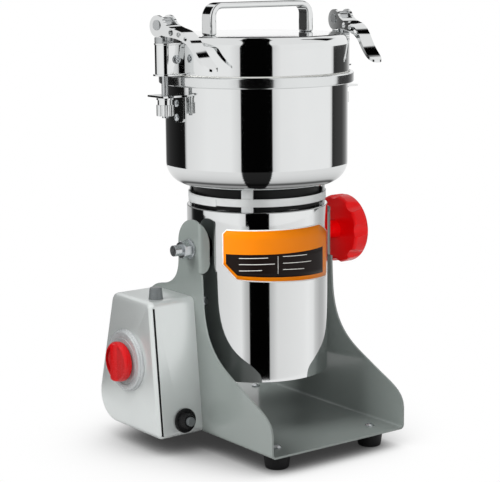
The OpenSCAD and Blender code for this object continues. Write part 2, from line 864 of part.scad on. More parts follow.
module drum_shell() {
    tab_low = cover_z + cover_t;
    color("#d5d8da") centred() difference() {
        union() {
            tube(drum_r, drum_r - drum_wall, drum_low, drum_top);
            tube(drum_r - drum_wall / 2, drum_r - 13, drum_top - drum_wall, drum_top);
            for (a = [30, 150, 270])
                ring_sector(drum_r - drum_wall / 2, tab_r - 6, tab_low, tab_low + tab_t, a, 6);
        }
        rod_x(-drum_r - over, drum_r + over, 0, pivot_h, stud_r + run_gap);
        cover_places() translate([0, 0, tab_low - over])
            cylinder(r = screw_r + hole_gap, h = tab_t + 2 * over);
        strap_places() translate([neck_r - 7, 0, drum_top - drum_wall - over])
            cylinder(r = screw_r + hole_gap, h = drum_wall + 2 * over);
    }
}

module drum_cover() {
    outer = drum_r - drum_wall - gap;
    color("#2b2d2f") centred() difference() {
        translate([0, 0, cover_z]) cylinder(r = outer, h = cover_t);
        for (i = [0:vent_count - 1])
            ring_sector(44, 24, cover_z - over, cover_z + cover_t + over,
                        360 * i / vent_count, 90 / vent_count);
        cover_places() translate([0, 0, cover_z - over])
            cylinder(r = screw_r + hole_gap, h = cover_t + 2 * over);
    }
}

// head_screws: three under the cover, one in each strap's foot, two in each bowl bracket
module head_screws() {
    color("#c9cbcc") centred() {
        cover_places() translate([0, 0, cover_z]) mirror([0, 0, 1])
            dome_screw(cover_t + tab_t + 3);
        strap_places() translate([neck_r - 7, 0, drum_top + neck_t])
            dome_screw(neck_t + drum_wall + top_plate_t);
        bracket_screws() translate([0, 0, bracket_t])
            dome_screw(bracket_t + bowl_wall, bracket_screw_r);
    }
}

// ---------------------------------------------------------------- neck

module strap_places() {
    for (a = [45:90:315]) rotate([0, 0, a]) children();
}

module neck_frame() {
    inner = neck_r - neck_t;
    band_low = drum_top + (neck_h - neck_band) / 2 - 1.4;
    half = asin(strap_w / 2 / neck_r);
    foot_in = 11;
    color("#cdd0d2") centred() difference() {
        union() {
            tube(neck_r, inner, band_low, band_low + neck_band);
            // the band's lapped end
            ring_sector(neck_r + 0.5, neck_r - 0.2, band_low - 0.9, band_low + neck_band - 0.9,
                        176, 22);
            for (a = [45:90:315]) {
                ring_sector(inner + 0.2, inner - neck_t, drum_top, bowl_low, a, half);
                for (z = [drum_top, bowl_low - neck_t])
                    ring_sector(inner, inner - foot_in, z, z + neck_t, a, half);
            }
        }
        strap_places() translate([neck_r - 7, 0, drum_top - over])
            cylinder(r = screw_r + hole_gap, h = neck_t + 2 * over);
    }
}

// ---------------------------------------------------------------- motor

module tie_places() {
    for (a = [0:90:270]) rotate([0, 0, a]) translate([tie_r, 0, 0]) children();
}

module motor_top_bracket() {
    plate_low = bracket_top - top_plate_t;
    hub_h = bearing_h + 4;
    color("#9fa3a5") centred() difference() {
        union() {
            translate([0, 0, plate_low])
                cylinder(r = drum_r - drum_wall - gap, h = top_plate_t);
            translate([0, 0, plate_low - hub_h + top_plate_t + 3])
                cylinder(r = bearing_r + 4, h = hub_h);
            tie_places() translate([0, 0, core_top])
                cylinder(r = post_r, h = plate_low - core_top + 1);
        }
        translate([0, 0, plate_low - hub_h]) cylinder(r = bearing_r + run_gap,
                                                      h = top_plate_t + 3 + bearing_h);
        translate([0, 0, plate_low]) cylinder(r = shaft_r + 2, h = 3 * top_plate_t);
        tie_places() translate([0, 0, core_top - over])
            cylinder(r = tie_bolt_r + hole_gap, h = bracket_top - core_top + 2 * over);
        strap_places() translate([neck_r - 7, 0, plate_low - over])
            cylinder(r = screw_r + hole_gap, h = top_plate_t + 2 * over);
        for (a = [22.5:45:337.5])
            ring_sector(window_out, window_in, plate_low - over, bracket_top + over, a, 12);
    }
}

top_bearing_low = bracket_top - top_plate_t - bearing_h + 3 + top_plate_t - 4;

module motor_bottom_bracket() {
    hub_h = bearing_h + 2.5;
    top = lower_plate + lower_plate_t;
    color("#9fa3a5") centred() difference() {
        union() {
            translate([0, 0, lower_plate]) cylinder(r = stator_r, h = lower_plate_t);
            translate([0, 0, top - hub_h]) cylinder(r = bearing_r + 4, h = hub_h);
            tie_places() translate([0, 0, top - 1])
                cylinder(r = post_r, h = core_low - top + 1);
        }
        translate([0, 0, top - bearing_h]) cylinder(r = bearing_r + run_gap, h = bearing_h + 9);
        translate([0, 0, lower_plate - 9]) cylinder(r = shaft_r + 2, h = 20);
        tie_places() translate([0, 0, lower_plate - over])
            cylinder(r = tie_bolt_r + hole_gap, h = core_low - lower_plate + 2 * over);
        for (a = [45:90:315])
            ring_sector(window_out, window_in, lower_plate - over, top + over, a, 28);
    }
}

module motor_bolts() {
    head_h = 3;
    color("#8d9193") centred() tie_places() {
        translate([0, 0, lower_plate]) cylinder(r = tie_bolt_r, h = bracket_top - lower_plate);
        translate([0, 0, lower_plate - head_h])
            cylinder(r = tie_bolt_r + 2, h = head_h, $fn = 6);
    }
}

module ball_bearings() {
    color("#b4b8ba") centred() {
        tube(bearing_r, shaft_r + run_gap, top_bearing_low, top_bearing_low + bearing_h);
        tube(bearing_r, shaft_r + run_gap, lower_plate + lower_plate_t - bearing_h,
             lower_plate + lower_plate_t);
    }
}

module stator_core() {
    bore = armature_r + air_gap;
    color("#6d6f70") centred() difference() {
        union() {
            tube(stator_r, yoke_in, core_low, core_top);
            for (a = [45, 225]) {
                ring_sector(shoe_out, bore, core_low, core_top, a, 62);
                rotate([0, 0, a]) translate([bore + 1, -neck_half, core_low])
                    cube([yoke_in - bore, 2 * neck_half, core_h]);
            }
        }
        tie_places() translate([0, 0, core_low - over])
            cylinder(r = tie_bolt_r + hole_gap, h = core_h + 2 * over);
    }
}

// each field coil is a closed loop round the neck of its pole
module field_coils() {
    clear = 0.3;
    color("#a5562a") centred() for (a = [45, 225]) difference() {
        ring_sector(yoke_in - clear - 0.4, shoe_out + clear, core_low - coil_over,
                    core_top + coil_over, a, 54);
        rotate([0, 0, a]) translate([armature_r, -neck_half - clear, core_low - clear])
            cube([yoke_in - armature_r, 2 * (neck_half + clear), core_h + 2 * clear]);
    }
}

// brush: a block that slides radially in its holder's window
brush_w = 6.8;
brush_h = 6.6;
brush_low = lower_plate + lower_plate_t + 2.2;

module brush_holders() {
    wall = 2;
    low = brush_low - hole_gap;
    color("#7a5a2c") centred() for (a = [0, 180]) rotate([0, 0, a]) difference() {
        translate([commutator_r + 3, -brush_w / 2 - wall, low - wall - hole_gap])
            cube([18, brush_w + 2 * wall, brush_h + 2 * wall]);
        translate([commutator_r + 2, -brush_w / 2 - hole_gap, low])
            cube([21, brush_w + 2 * hole_gap, brush_h + 2 * hole_gap]);
    }
}

module carbon_brushes() {
    color("#2c2c2c") centred() for (a = [0, 180]) rotate([0, 0, a]) difference() {
        translate([commutator_r - 2, -brush_w / 2, brush_low]) cube([16, brush_w, brush_h]);
        translate([0, 0, brush_low - over])
            cylinder(r = commutator_r + gap, h = brush_h + 2 * over);
    }
}

// ---------------------------------------------------------------- rotor

shaft_low = lower_plate + lower_plate_t - bearing_h - 3;
step_z = top_bearing_low + bearing_h + 2;

module motor_shaft() {
    color("#c2c5c7") centred() {
        translate([0, 0, shaft_low]) cylinder(r = shaft_r, h = step_z - shaft_low);
        translate([0, 0, step_z - over]) cylinder(r = spindle_r, h = spindle_top - step_z + over);
    }
}

slot_r = 2.6;
slot_at = armature_r - 4.6;

module armature_core() {
    color("#6d6f70") centred() difference() {
        tube(armature_r, shaft_r, core_low, core_top);
        for (i = [0:slot_count - 1]) rotate([0, 0, 360 * i / slot_count]) {
            translate([slot_at, 0, core_low - over]) cylinder(r = slot_r, h = core_h + 2 * over);
            translate([slot_at, -0.7, core_low - over]) cube([9, 1.4, core_h + 2 * over]);
        }
    }
}

module armature_coils() {
    ring_h = 8;
    color("#b06a35") centred() {
        for (z = [core_low - ring_h, core_top])
            rotate_extrude() soft_band(shaft_r + 5, slot_at + slot_r, z, z + ring_h, 2.5);
        for (i = [0:slot_count - 1]) rotate([0, 0, 360 * i / slot_count])
            translate([slot_at, 0, core_low - over])
                cylinder(r = slot_r - hole_gap, h = core_h + 2 * over);
    }
}

module commutator() {
    color("#b87333") centred() difference() {
        tube(commutator_r, shaft_r, com_low, com_low + com_h);
        for (i = [0:2 * slot_count - 1]) rotate([0, 0, 180 * i / slot_count])
            translate([commutator_r - 0.6, -0.25, com_low - over])
                cube([2, 0.5, com_h + 2 * over]);
    }
}

module cooling_fan() {
    fan_low = core_top + coil_over + 3;
    vane_h = 9;
    plate = 2;
    color("#e3e2da") centred() {
        tube(fan_r, shaft_r, fan_low, fan_low + plate);
        tube(shaft_r + 6, shaft_r, fan_low, fan_low + plate + vane_h);
        for (i = [0:vane_count - 1]) rotate([0, 0, 360 * i / vane_count])
            translate([shaft_r + 5, 0, fan_low]) rotate([0, 0, 22])
                cube([fan_r - shaft_r - 9, 1.6, plate + vane_h]);
    }
}

// blade outline: two swept knife arms on a round boss
module blade_outline(reach, sweep) {
    difference() {
        union() {
            circle(r = blade_w / 2 + 2);
            for (a = [0, 180]) rotate(a) polygon(concat(
                [[0, -blade_w / 2], [reach * 0.6, -blade_w / 2 + sweep / 3]],
                bezier([[reach - 8, -blade_w / 4 + sweep * 0.6], [reach - 2, sweep * 0.8],
                        [reach, sweep], [reach - 4, sweep + 3]], 6),
                [[reach * 0.55, blade_w / 2 - 3 + sweep / 2], [0, blade_w / 2]]
            ));
        }
        circle(r = spindle_r + hole_gap);
    }
}

module blade(z, turn, reach, sweep) {
    translate([0, 0, z]) rotate([0, 0, turn]) linear_extrude(blade_t) blade_outline(reach, sweep);
}

// the lower blade scrapes the floor: its arms end in turned-up tips
module lower_blade() {
    reach = blade_reach - 8;
    color("#c6cacc") centred() {
        blade(blade_low, 20, reach, 4);
        for (a = [20, 200]) rotate([0, 0, a]) translate([reach - 7, 1, blade_low])
            rotate([0, 0, 12]) cube([blade_t, 8, 9]);
    }
}

module middle_blade() {
    color("#c6cacc") centred() blade(blade_low + blade_step + blade_t, 80, blade_reach - 3, 7);
}

module upper_blade() {
    color("#c6cacc") centred()
        blade(blade_low + 2 * (blade_step + blade_t), 140, blade_reach, 2);
}

module blade_spacers() {
    color("#b8bcbe") centred() {
        tube(9, spindle_r + hole_gap, hub_top + gap, blade_low);
        for (i = [0, 1]) tube(9, spindle_r + hole_gap,
            blade_low + blade_t + i * (blade_step + blade_t),
            blade_low + (i + 1) * (blade_step + blade_t));
    }
}

module blade_nut() {
    color("#c4c7c9") centred() difference() {
        union() {
            translate([0, 0, blade_top]) cylinder(r = 9, h = 7, $fn = 6);
            translate([0, 0, blade_top]) cylinder(r = 10, h = 1.2);
        }
        translate([0, 0, blade_top - over]) cylinder(r = spindle_r + hole_gap, h = 7 + 2 * over);
    }
}

// ---------------------------------------------------------------- bowl

// the two screws of each bracket, square to the bowl's wall
module bracket_screws() {
    turn = -asin((bracket_shut - bracket_w / 2) / bowl_r);
    for (a = [0, 180], up = [0.16, 0.67]) rotate([0, 0, a + turn])
        translate([bowl_r, 0, shelf_top - bracket_h * (1 - up)]) rotate([0, 90, 0]) children();
}

module bowl() {
    color("#dcdfe1") centred() difference() {
        rotate_extrude() difference() {
            cup_profile(bowl_r, bowl_low, bowl_top, bowl_corner);
            cup_profile(bowl_r - bowl_wall, bowl_floor, bowl_top + over, bowl_corner - bowl_wall);
            translate([-over, bowl_low - over]) square([hub_r + hole_gap + over, 3 * over]);
        }
        bracket_screws() translate([0, 0, -2 * bowl_wall])
            cylinder(r = bracket_screw_r + hole_gap, h = 2 * bowl_wall + over);
    }
}

module bowl_rim() {
    color("#cfd2d4") centred() rotate_extrude()
        soft_band(bowl_r, bowl_r + rim_w, bowl_top - rim_h, bowl_top, 1.4);
}

seal_pocket = 11;
seal_low = bowl_low - 6;

module bowl_hub() {
    color("#a9adaf") centred() difference() {
        union() {
            translate([0, 0, hub_low]) cylinder(r = hub_r, h = hub_top - hub_low);
            translate([0, 0, bowl_low - 3]) cylinder(r = hub_flange_r, h = 3);
        }
        translate([0, 0, hub_low - over])
            cylinder(r = spindle_r + 1, h = hub_top - hub_low + 2 * over);
        translate([0, 0, seal_low]) cylinder(r = seal_pocket, h = 8);
    }
}

module shaft_seal() {
    color("#5b2f22") centred()
        tube(seal_pocket - hole_gap, spindle_r + run_gap, seal_low, seal_low + 8);
}

// wall plate with round lower corners, flush with the shelf's closed side
module bracket_plate() {
    low = shelf_top - bracket_h;
    corner = 4;
    intersection() {
        tube(bowl_r + bracket_t, bowl_r, low, shelf_top);
        side_plate(0.8 * bowl_r, bowl_r) polygon(concat(
            [[bracket_w - bracket_shut, shelf_top + over], [-bracket_shut, shelf_top + over]],
            arc_points([corner - bracket_shut, low + corner], corner, 180, 270, 6),
            arc_points([bracket_w - bracket_shut - corner, low + corner], corner, 270, 360, 6)
        ));
    }
}

// shelf; the slot lets the draw bolt swing out along its own circle
module bowl_bracket() {
    low = shelf_top - bracket_t;
    slot_half = asin((bracket_open + bolt_r) / clamp_x) / 2;
    difference() {
        union() {
            bracket_plate();
            difference() {
                translate([0.8 * bowl_r, -bracket_shut, low])
                    cube([clamp_x + bracket_out - 0.8 * bowl_r, bracket_shut + bracket_open,
                          bracket_t]);
                translate([0, 0, low - over]) cylinder(r = bowl_r, h = bracket_t + 2 * over);
            }
        }
        ring_sector(clamp_x + bolt_r + gap, clamp_x - bolt_r - gap, low - over,
                    shelf_top + over, slot_half, slot_half);
        translate([clamp_x, 0, low - over])
            cylinder(r = bolt_r + gap, h = bracket_t + 2 * over);
    }
}

module bowl_brackets() {
    color("#b9bdbf") centred() difference() {
        for (a = [0, 180]) rotate([0, 0, a]) bowl_bracket();
        bracket_screws() translate([0, 0, -over])
            cylinder(r = bracket_screw_r + hole_gap, h = bracket_t + 2 * over);
    }
}

// ---------------------------------------------------------------- lid

module lid_shell() {
    color("#dcdfe1") centred() difference() {
        translate([0, 0, lid_low + lid_top]) mirror([0, 0, 1]) rotate_extrude() difference() {
            cup_profile(lid_r, lid_low, lid_top, lid_corner);
            cup_profile(lid_r - lid_wall, lid_low + lid_wall, lid_top + over,
                        lid_corner - lid_wall);
        }
    }
}

module lid_gasket() {
    lip_r = bowl_r - bowl_wall - gap;
    color("#eef0ee") centred() {
        tube(lid_r + 0.8, lip_r - 3, bowl_top, lid_low);
        tube(lip_r, lip_r - 3, bowl_top - 6, bowl_top + seal_t / 2);
    }
}

// flat-bar handle: outer and inner outline with round corners
module handle_outline(half, top, r) {
    translate([-half, lid_top]) square([2 * half, top - lid_top - r]);
    translate([-half + r, lid_top]) square([2 * (half - r), top - lid_top]);
    for (s = [-1, 1]) translate([s * (half - r), top - r]) circle(r = r);
}

module lid_handle() {
    half = handle_len / 2;
    color("#d9dcde") centred() translate([handle_x, 0, 0])
        front_plate(-handle_w / 2, handle_w) difference() {
        handle_outline(half, handle_top, handle_r);
        translate([0, -over]) handle_outline(half - handle_leg_t, handle_top - handle_top_t + over,
                                             handle_r - handle_leg_t);
    }
}

// plan of a lug: round nose about the draw bolt, straight sides back to the lid
module lug_plan(nose) {
    translate([clamp_x, 0]) circle(r = nose);
    translate([lid_r - 4, -nose]) square([clamp_x - lid_r + 4, 2 * nose]);
}

module lid_lug() {
    difference() {
        union() {
            translate([0, 0, lug_low]) linear_extrude(lug_h) difference() {
                lug_plan(lug_nose);
                lug_plan(lug_nose - lug_t);
            }
            translate([0, 0, lug_low])
                linear_extrude(lug_t) lug_plan(lug_nose + lug_overhang);
            translate([0, 0, lug_top - lug_t])
                linear_extrude(lug_t) lug_plan(lug_nose + lug_rim);
            translate([lid_r - 1, -lug_nose, lug_low])
                cube([cross_x - lid_r + 1 + screw_r + 1.4, 2 * lug_nose, lug_h]);
        }
        translate([0, 0, lug_low - over]) cylinder(r = lid_r, h = lug_h + 2 * over);
        translate([clamp_x, 0, lug_low - over]) cylinder(r = bolt_r + gap, h = lug_h + 2 * over);
        translate([cross_x, lug_nose + over, cross_z]) rotate([90, 0, 0])
            cylinder(r = screw_r + hole_gap, h = 2 * lug_nose + 2 * over);
    }
}

module lid_lugs() {
    color("#d3d6d8") centred() for (a = [0, 180]) rotate([0, 0, a]) lid_lug();
}

// cross screws, heads to the front on both sides
module lug_screws() {
    color("#c9cbcc") centred() for (s = [-1, 1])
        translate([s * cross_x, -lug_nose, cross_z]) rotate([90, 0, 0])
            dome_screw(2 * lug_nose);
}

// turns the lever's own frame (x along the lever, pin at the origin) into place
module lever_place(side) {
    translate([side * clamp_x, 0, pin_z]) rotate([0, 0, -90 - side * lever_lean]) children();
}

module lug_saddles() {
    half = 5;
    groove = fork_gap / 2;
    color("#c3c6c8") centred() for (s = [-1, 1]) lever_place(s)
        translate([0, 0, lug_top - pin_z]) difference() {
            intersection() {
                translate([-half, -fork_w / 2, 0]) cube([2 * half, fork_w, saddle_h]);
                translate([0, 0, -over]) cylinder(r = lug_nose, h = saddle_h + 2 * over);
            }
            translate([-half - over, -groove, 1.5])
                cube([2 * (half + over), 2 * groove, saddle_h]);
            translate([0, 0, -over]) cylinder(r = bolt_r + gap, h = saddle_h + 2 * over);
        }
}

// ---------------------------------------------------------------- clamps

module draw_bolt(side) {
    difference() {
        union() {
            lever_place(side) rotate([90, 0, 0])
                translate([0, 0, -eye_w / 2]) cylinder(r = eye_r, h = eye_w);
            translate([side * clamp_x, 0, bolt_low]) cylinder(r = bolt_r, h = pin_z - bolt_low);
        }
        lever_place(side) rotate([90, 0, 0])
            translate([0, 0, -eye_w]) cylinder(r = pin_r + run_gap, h = 2 * eye_w);
    }
}

module draw_bolt_left() {
    color("#bfc2c4") centred() draw_bolt(-1);
}

module draw_bolt_right() {
    color("#bfc2c4") centred() draw_bolt(1);
}

// side view of the lever: top line from the hub to the tip, then back underneath
tip_t = 2.1;
waist = [lever_reach - 20.5, 19 - lever_drop];
lever_top_a = [[4, 7.2], [8, 1.8], [13, -1.4], [22, -3.1]];
lever_top_b = [[22, -3.1], [32, -5], waist + [-5.5, 8.5], waist];
lever_top_c = [waist, waist + [4.5, -6.7], [lever_reach - 10, 4.8 - lever_drop],
               [lever_reach, -lever_drop]];
lever_low_c = [[lever_reach, -lever_drop - tip_t], [lever_reach - 10.5, 2.2 - lever_drop],
               waist + [3, -10.5], waist + [-2, -4.5]];
lever_low_b = [waist + [-2, -4.5], waist + [-6.5, 0.9], [32.5, -12.9], [24, -11]];
lever_low_a = [[24, -11], [18, -9.8], [12, -10], [5, -8.5]];
lever_holes = [[0, 0, pin_r], [17.8, -6, 2.8], [27, -7.4, 2.2], [34.2, -11, 1.8]];

function lever_side() = concat(
    bezier(lever_top_a, 8), bezier(lever_top_b, 10), bezier(lever_top_c, 12),
    bezier(lever_low_c, 12), bezier(lever_low_b, 10), bezier(lever_low_a, 8)
);
// channel under the web: the top line moved down by the web's thickness, and the fork's mouth
fork_depth = 10.5;
function lever_channel() = concat(
    [[-20, -40], [-20, 30], [fork_depth, 30]],
    [for (q = shifted(concat(bezier(lever_top_a, 8), bezier(lever_top_b, 10)), [-1.6, -2]))
        if (q[0] > fork_depth) q],
    [waist + [-3.5, -25]]
);
// half plan of the lever: full width at the fork, a waist, and a round tip
function mirrored(p) = [for (i = [len(p) - 1:-1:0]) [p[i][0], -p[i][1]]];
function lever_plan_half() = concat(
    [[-20, fork_w / 2], [14, fork_w / 2]],
    bezier([[20, fork_w / 2], [29, fork_w / 2], [31, waist_w / 2], [42, waist_w / 2]], 8),
    bezier([[lever_reach - 10, tip_w / 2], [lever_reach - 3, tip_w / 2],
            [lever_reach, tip_w / 3], [lever_reach, 0]], 10)
);

module cam_lever(side) {
    lever_place(side) difference() {
        intersection() {
            rotate([90, 0, 0]) {
                linear_extrude(fork_w + 2 * over, center = true) polygon(lever_side());
                translate([0, -cam_offset, 0])
                    cylinder(r = cam_r, h = fork_w + 4 * over, center = true);
            }
            translate([0, 0, -60]) linear_extrude(120)
                polygon(concat(lever_plan_half(), mirrored(lever_plan_half())));
        }
        rotate([90, 0, 0]) linear_extrude(fork_gap, center = true) polygon(lever_channel());
        for (h = lever_holes) translate([h[0], fork_w, h[1]]) rotate([90, 0, 0])
            cylinder(r = h[2], h = 2 * fork_w);
    }
}

module cam_lever_left() {
    color("#d6d9db") centred() cam_lever(-1);
}

module cam_lever_right() {
    color("#d6d9db") centred() cam_lever(1);
}

module lever_pin(side) {
    head_r = pin_r + 1.4;
    head_t = 0.9;
    lever_place(side) rotate([90, 0, 0]) {
        translate([0, 0, -fork_w / 2]) cylinder(r = pin_r, h = fork_w);
        for (s = [-1, 1]) translate([0, 0, s * (fork_w + head_t) / 2])
            cylinder(r = head_r, h = head_t, center = true);
    }
}

module lever_pin_left() {
    color("#a9adb0") centred() lever_pin(-1);
}

module lever_pin_right() {
    color("#a9adb0") centred() lever_pin(1);
}

// nut with a fluted grip, a plain neck and a collar that bears on the bracket's shelf
module adjusting_nut(side) {
    flutes = 12;
    flute_r = 1.1;
    neck = nut_r - 1.1;
    collar_t = 1.6;
    translate([side * clamp_x, 0, nut_top - nut_h]) difference() {
        union() {
            cylinder(r = nut_r, h = grip_h);
            cylinder(r = neck, h = nut_h);
            translate([0, 0, nut_h - collar_t]) cylinder(r = nut_r - 0.2, h = collar_t);
        }
        for (i = [0:flutes - 1]) rotate([0, 0, 360 * i / flutes])
            translate([nut_r + 0.3, 0, -over]) cylinder(r = flute_r, h = grip_h + over);
        translate([0, 0, -over]) cylinder(r = bolt_r + run_gap, h = nut_h + 2 * over);
    }
}

module adjusting_nut_left() {
    color("#c9ccce") centred() adjusting_nut(-1);
}

module adjusting_nut_right() {
    color("#c9ccce") centred() adjusting_nut(1);
}

base_cradle();
rubber_feet();
base_screws();
switch_box();
dial_plate();
timer_switch();
push_switch();
breaker_body();
breaker_collar();
cord_gland();
tilt_knob();
timer_knob();
timer_shaft();
start_button();
breaker_pin();
drum_shell();
drum_cover();
head_screws();
pivot_studs();
pivot_spacers();
pivot_washers();
pivot_nut();
neck_frame();
motor_top_bracket();
motor_bottom_bracket();
motor_bolts();
ball_bearings();
stator_core();
field_coils();
brush_holders();
carbon_brushes();
bowl();
bowl_rim();
bowl_hub();
shaft_seal();
bowl_brackets();
motor_shaft();
armature_core();
armature_coils();
commutator();
cooling_fan();
lower_blade();
middle_blade();
upper_blade();
blade_spacers();
blade_nut();
lid_shell();
lid_gasket();
lid_handle();
lid_lugs();
lug_screws();
lug_saddles();
draw_bolt_left();
draw_bolt_right();
cam_lever_left();
cam_lever_right();
lever_pin_left();
lever_pin_right();
adjusting_nut_left();
adjusting_nut_right();
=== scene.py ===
import json
import math

import bmesh
import bpy
import numpy as np
from mathutils import Matrix, Vector


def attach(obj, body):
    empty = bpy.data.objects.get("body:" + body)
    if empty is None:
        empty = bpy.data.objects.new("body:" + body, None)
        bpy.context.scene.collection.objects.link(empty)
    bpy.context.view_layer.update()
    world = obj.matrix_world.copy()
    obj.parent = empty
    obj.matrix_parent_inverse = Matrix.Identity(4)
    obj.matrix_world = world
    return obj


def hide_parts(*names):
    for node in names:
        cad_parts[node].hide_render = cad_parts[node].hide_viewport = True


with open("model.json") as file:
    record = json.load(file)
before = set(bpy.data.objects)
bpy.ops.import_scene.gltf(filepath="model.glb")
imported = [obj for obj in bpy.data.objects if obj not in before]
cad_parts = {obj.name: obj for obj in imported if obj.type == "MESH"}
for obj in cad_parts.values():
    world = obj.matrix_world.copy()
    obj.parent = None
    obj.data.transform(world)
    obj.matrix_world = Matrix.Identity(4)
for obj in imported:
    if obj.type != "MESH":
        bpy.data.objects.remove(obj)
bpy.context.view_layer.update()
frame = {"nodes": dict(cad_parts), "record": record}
nodes = frame["nodes"]
behaviour = frame["record"]["behaviour"]
bodyOf = {n: b for b, names in behaviour["bodies"].items() for n in names}
slotOf = {s["node"]: s["material_slot"] for s in frame["record"]["subparts"]}
lidTurn = next(joint for joint in behaviour["joints"] if joint["name"] == "lid_turn")

mm = 0.001
axis = Vector((*lidTurn["pos_m"][:2], 0.0))  # the upright axis of drum, bowl and lid
cameraSide = -126.84  # direction of the camera from that axis, in degrees from the frame's x


def linearLight(value):  # sRGB on a 0 to 1 scale to linear light
    return np.where(value <= 0.04045, value / 12.92, ((value + 0.055) / 1.055) ** 2.4)


def linear(hexColour):  # sRGB hex to the linear values that Blender's sockets hold
    channels = np.array([int(hexColour[i:i + 2], 16) for i in (1, 3, 5)]) / 255
    return linearLight(channels).tolist() + [1.0]


def node(tree, kind, settings=None, inputs=None):  # adds one node, sets its fields, sets or links its inputs
    made = tree.nodes.new(kind)
    for field, value in (settings or {}).items():
        setattr(made, field, value)
    for socket, value in (inputs or {}).items():
        if isinstance(value, bpy.types.NodeSocket):
            tree.links.new(value, made.inputs[socket])
        else:
            made.inputs[socket].default_value = value
    return made


def newMaterial(name):
    material = bpy.data.materials.new(name)
    material.use_nodes = True
    material.node_tree.nodes.clear()
    return material, material.node_tree


print("materials")


# A finish from its settings. Its colour and roughness drift between two values over patches
# "cloud" mm across. Its relief has cells "grain" mm across, finer by the "draw" factors along each
# axis, and is "relief" mm deep. The noise of the patches and that of the cells add up to about 0.7 to 1.3.
def makeFinish(look):
    material, tree = newMaterial(look["name"])
    place = node(tree, "ShaderNodeTexCoord").outputs["Object"]
    drawn = node(tree, "ShaderNodeMapping", inputs={"Vector": place, "Scale": look.get("draw", (1, 1, 1))})
    cloud = node(tree, "ShaderNodeTexNoise", inputs={
        "Vector": place, "Scale": 1000 / look["cloud"], "Detail": 3.0, "Roughness": 0.5})
    grain = node(tree, "ShaderNodeTexNoise", inputs={
        "Vector": drawn.outputs[0], "Scale": 1000 / look["grain"], "Detail": 2.0, "Roughness": 0.6})
    tone = node(tree, "ShaderNodeMix", {"data_type": "RGBA"}, {
        "Factor": cloud.outputs["Fac"], 6: linear(look["tint"]), 7: linear(look["shade"])})
    mixed = node(tree, "ShaderNodeMath", {"operation": "ADD"}, {
        0: cloud.outputs["Fac"], 1: grain.outputs["Fac"]})
    rough = node(tree, "ShaderNodeMapRange", inputs={
        "Value": mixed.outputs[0], "From Min": 0.7, "From Max": 1.3,
        "To Min": look["low"], "To Max": look["high"]})
    relief = node(tree, "ShaderNodeBump", inputs={
        "Height": grain.outputs["Fac"], "Strength": 0.3, "Distance": look["relief"] * mm})
    shader = node(tree, "ShaderNodeBsdfPrincipled", inputs={
        "Base Color": tone.outputs[2], "Roughness": rough.outputs["Result"],
        "Normal": relief.outputs["Normal"], "Metallic": look.get("metallic", 0.0),
        "Specular IOR Level": look.get("glint", 0.5),
        "Coat Weight": look.get("coat", 0.0), "Coat Roughness": 0.06})
    node(tree, "ShaderNodeOutputMaterial", inputs={"Surface": shader.outputs[0]})
    return material


# Wound or stacked metal: ribs "pitch" mm apart, with a painted highlight on their crests and painted shade
# between them.
# The wave node repeats every pi / 10 of a unit along an axis, and a sixth further apart on the diagonal.
def makeRibs(look):
    material, tree = newMaterial(look["name"])
    place = node(tree, "ShaderNodeTexCoord").outputs["Object"]
    ribs = node(tree, "ShaderNodeTexWave", {"bands_direction": look["along"]}, {
        "Vector": place, "Scale": 1000 * math.pi / (10 * look["pitch"]), "Distortion": look["wander"]})
    tone = node(tree, "ShaderNodeMix", {"data_type": "RGBA"}, {
        "Factor": ribs.outputs["Fac"], 6: linear(look["tint"]), 7: linear(look["shade"])})
    relief = node(tree, "ShaderNodeBump", inputs={
        "Height": ribs.outputs["Fac"], "Strength": 0.5, "Distance": look["relief"] * mm})
    shader = node(tree, "ShaderNodeBsdfPrincipled", inputs={
        "Base Color": tone.outputs[2], "Roughness": look["rough"], "Normal": relief.outputs["Normal"],
        "Metallic": 0.9})
    node(tree, "ShaderNodeOutputMaterial", inputs={"Surface": shader.outputs[0]})
    return material


